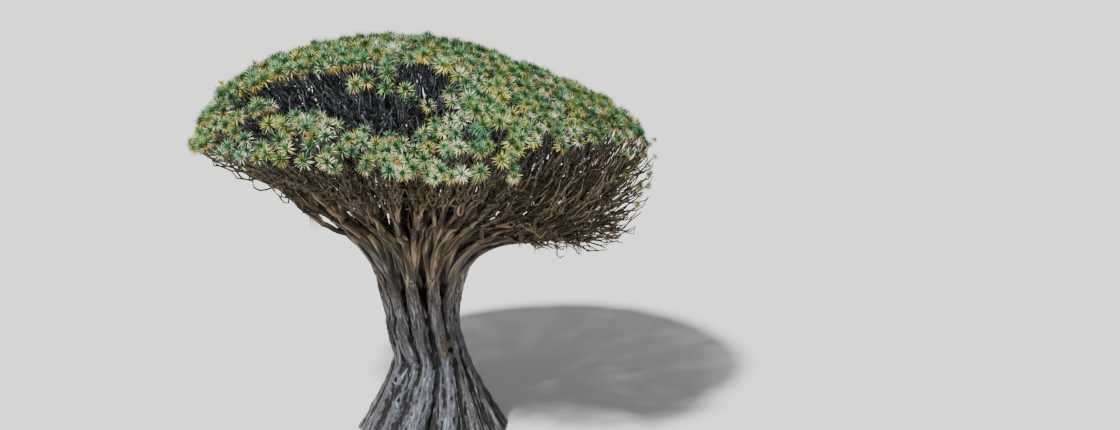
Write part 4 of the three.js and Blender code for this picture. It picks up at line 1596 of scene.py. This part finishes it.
class DRAGONTREE_OT_bark(bpy.types.Operator):
    """Replace the trunk and boughs by one mesh with the relief of old bark"""

    bl_idname = "dragontree.bark"
    bl_label = "Bark of trunk and boughs"

    def execute(self, context):
        settings = context.scene.dragon_bark
        material = bark_material(settings)
        show("bark_trunk", bark_mesh(settings), material, ["trunk", *BOUGH_NODES])
        limbs = limb_mesh(crown_of(context.scene.dragon_crown), "bark_limbs")
        show("bark_limbs", limbs, material, BOUGH_NODES)
        return {"FINISHED"}


class DRAGONTREE_OT_twigs(bpy.types.Operator):
    """Grow the limbs and twigs of all masses on from the boughs"""

    bl_idname = "dragontree.twigs"
    bl_label = "Limbs and twigs"

    def execute(self, context):
        crown = crown_of(context.scene.dragon_crown)
        bark = wood_material("dragon_twig_bark", TWIG_TONES, 9.0, 6.0, 0.02, SHADED_HIGH_TWIG_TONES)
        names = ["foliage_" + bough["name"] for bough in plan_boughs()]
        first_outer = CORE_RING["count"] + INNER_RING["count"]
        inner = crown["mass"] < first_outer
        for name, chosen in (("twigs_inner", inner), ("twigs_outer", ~inner)):
            nodes = [names[mass] for mass in sorted(set(crown["mass"][chosen]))]
            show(name, twig_corners(crown, chosen).mesh(name), bark, nodes)
        return {"FINISHED"}


class DRAGONTREE_OT_leaves(bpy.types.Operator):
    """Set a rosette of blades on every leafy twig, in tints dealt out by whorl"""

    bl_idname = "dragontree.leaves"
    bl_label = "Leaf rosettes"

    def execute(self, context):
        settings = context.scene.dragon_crown
        places, axes, scale = crown_rosettes(crown_of(settings))
        rng = chance("leaves")
        matrices = turned(axes, rng.uniform(0, FULL_TURN, len(places)))
        pick = rng.integers(ROSETTE_KINDS, size=len(places))
        parts = [[heart(settings, rng) for _ in range(ROSETTE_KINDS)]]
        for angles in WHORL_ANGLES:
            parts.append([whorl(settings, rng, angles) for _ in range(ROSETTE_KINDS)])
        shares = zip(*(shares for _, _, shares in LEAF_TINTS))
        tints = [rng.choice(len(LEAF_TINTS), size=len(places), p=dealt) for dealt in shares]
        for number, (name, color, _) in enumerate(LEAF_TINTS):
            corners = Corners()
            for kinds, tint in zip(parts, tints):
                some = tint == number
                if some.any():
                    blade_places = place_all(kinds, pick[some], places[some], matrices[some], scale[some])
                    corners.repeat(blade_places, BLADE_FACES)
            material = leaf_material("leaf_" + name, color)
            show("leaves_" + name, corners.mesh(name), material, MASS_NODES)
        return {"FINISHED"}


class DRAGONTREE_OT_dry_leaves(bpy.types.Operator):
    """Hang a skirt of dry blades under many of the rosettes"""

    bl_idname = "dragontree.dry_leaves"
    bl_label = "Dry leaves"

    def execute(self, context):
        settings = context.scene.dragon_crown
        places, axes, scale = crown_rosettes(crown_of(settings))
        rng = chance("dry")
        upright = unit(axes + np.array([0, 0, DRY_UPRIGHT]))
        matrices = turned(upright, rng.uniform(0, FULL_TURN, len(places)))
        kinds = [skirt(settings, rng) for _ in range(ROSETTE_KINDS)]
        pick = rng.integers(ROSETTE_KINDS, size=len(places))
        deal = rng.random(len(places))
        for number, (name, color) in enumerate(DRY_TINTS):
            some = (deal > number * DRY_SHARE) & (deal < number * DRY_SHARE + DRY_SHARE)
            blade_places = place_all(kinds, pick[some], places[some], matrices[some], scale[some])
            corners = Corners()
            corners.repeat(blade_places, BLADE_FACES)
            material = leaf_material("dry_" + name, color)
            show("dry_leaves_" + name, corners.mesh(name), material, MASS_NODES)
        return {"FINISHED"}


class DRAGONTREE_OT_fruit(bpy.types.Operator):
    """Add sprays of orange fruit to some rosettes"""

    bl_idname = "dragontree.fruit"
    bl_label = "Fruit"

    def execute(self, context):
        settings = context.scene.dragon_crown
        places, axes, scale = crown_rosettes(crown_of(settings))
        rng = chance("fruit")
        grown_up = np.nonzero(scale > 0.8)[0]
        chosen = rng.choice(grown_up, size=min(settings.panicles, len(grown_up)), replace=False)
        stalks, fruit = panicle_corners(places[chosen], axes[chosen], rng)
        stalk = wood_material("dragon_stalk", STALK_TONES, 20.0, 20.0, 0.004)
        ripe = mottled_material("dragon_fruit", *FRUIT_TONES, 6.0)
        show("fruit_stalks", stalks.mesh("fruit_stalks"), stalk, MASS_NODES)
        show("fruit_berries", fruit.mesh("fruit_berries"), ripe, MASS_NODES)
        return {"FINISHED"}


class DRAGONTREE_OT_roots(bpy.types.Operator):
    """Hang tufts of thin roots from the outer boughs"""

    bl_idname = "dragontree.roots"
    bl_label = "Hanging roots"

    def execute(self, context):
        bark = wood_material("dragon_root_bark", ROOT_TONES, 20.0, 6.0, 0.006)
        settings = context.scene.dragon_crown
        corners = root_corners(settings, crown_of(settings))
        show("hanging_roots", corners.mesh("hanging_roots"), bark, [])
        return {"FINISHED"}


class DRAGONTREE_OT_stage(bpy.types.Operator):
    """Make the floor, the lights and the camera"""

    bl_idname = "dragontree.stage"
    bl_label = "Floor, lights and camera"

    def execute(self, context):
        settings = context.scene.dragon_stage
        build_floor(settings)
        build_lights(context.scene)
        build_camera(context.scene, settings)
        return {"FINISHED"}


def build_floor(settings):
    corners = Corners()
    square = np.array([[(-1, -1, 0), (1, -1, 0), (1, 1, 0), (-1, 1, 0)]])
    corners.repeat(square * FLOOR_SIZE / 2, [[(0, 1, 2, 3)]])
    floor = bpy.data.objects.new("floor", corners.mesh("floor"))
    color = settings.floor_color
    floor.data.materials.append(mottled_material("stage_floor", shade(color, 0.98), color, 0.2, 0.9))
    bpy.context.scene.collection.objects.link(floor)


def build_lights(scene):
    for name, source, strength, softness in LIGHTS:
        data = bpy.data.lights.new(name, "SUN")
        data.energy = strength
        data.angle = math.radians(softness)
        light = bpy.data.objects.new(name, data)
        light.rotation_mode = "QUATERNION"
        light.rotation_quaternion = Vector(source).to_track_quat("Z", "Y")
        light.location = Vector(source) * 40
        scene.collection.objects.link(light)
    world = bpy.data.worlds.new("studio")
    world.use_nodes = True
    background = world.node_tree.nodes["Background"]
    background.inputs["Color"].default_value = SKY
    background.inputs["Strength"].default_value = SKY_STRENGTH
    scene.world = world


def build_camera(scene, settings):
    data = bpy.data.cameras.new("camera")
    data.sensor_width = 36
    data.lens = settings.lens
    data.clip_end = 3000
    camera = bpy.data.objects.new("camera", data)
    camera.location = (0, -settings.distance, settings.height)
    aim = Vector((settings.aim_x, 0, settings.aim_z)) - camera.location
    camera.rotation_mode = "QUATERNION"
    camera.rotation_quaternion = aim.to_track_quat("-Z", "Y")
    scene.collection.objects.link(camera)
    scene.camera = camera


class DRAGONTREE_PT_panel(bpy.types.Panel):
    """The tree's steps in the order in which they are made"""

    bl_label = "Dragon Blood Tree"
    bl_idname = "DRAGONTREE_PT_panel"
    bl_space_type = "VIEW_3D"
    bl_region_type = "UI"
    bl_category = "Dragon Tree"

    def draw(self, context):
        for step in STEPS:
            self.layout.operator(step.bl_idname)
        for settings in (context.scene.dragon_bark, context.scene.dragon_crown, context.scene.dragon_stage):
            box = self.layout.box()
            for name in settings.__annotations__:
                box.prop(settings, name)


SETTINGS = (BarkSettings, CrownSettings, StageSettings)
STEPS = (
    DRAGONTREE_OT_bark,
    DRAGONTREE_OT_twigs,
    DRAGONTREE_OT_leaves,
    DRAGONTREE_OT_dry_leaves,
    DRAGONTREE_OT_fruit,
    DRAGONTREE_OT_roots,
    DRAGONTREE_OT_stage,
)


def register():
    for kind in (*SETTINGS, *STEPS, DRAGONTREE_PT_panel):
        bpy.utils.register_class(kind)
    bpy.types.Scene.dragon_bark = PointerProperty(type=BarkSettings)
    bpy.types.Scene.dragon_crown = PointerProperty(type=CrownSettings)
    bpy.types.Scene.dragon_stage = PointerProperty(type=StageSettings)


def unregister():
    del bpy.types.Scene.dragon_stage
    del bpy.types.Scene.dragon_crown
    del bpy.types.Scene.dragon_bark
    for kind in reversed((*SETTINGS, *STEPS, DRAGONTREE_PT_panel)):
        bpy.utils.unregister_class(kind)


def main():
    """Builds the whole tree and its stage."""
    register()
    bpy.ops.dragontree.bark()
    bpy.ops.dragontree.twigs()
    bpy.ops.dragontree.leaves()
    bpy.ops.dragontree.dry_leaves()
    bpy.ops.dragontree.fruit()
    bpy.ops.dragontree.roots()
    bpy.ops.dragontree.stage()


if __name__ == "__main__":
    main()
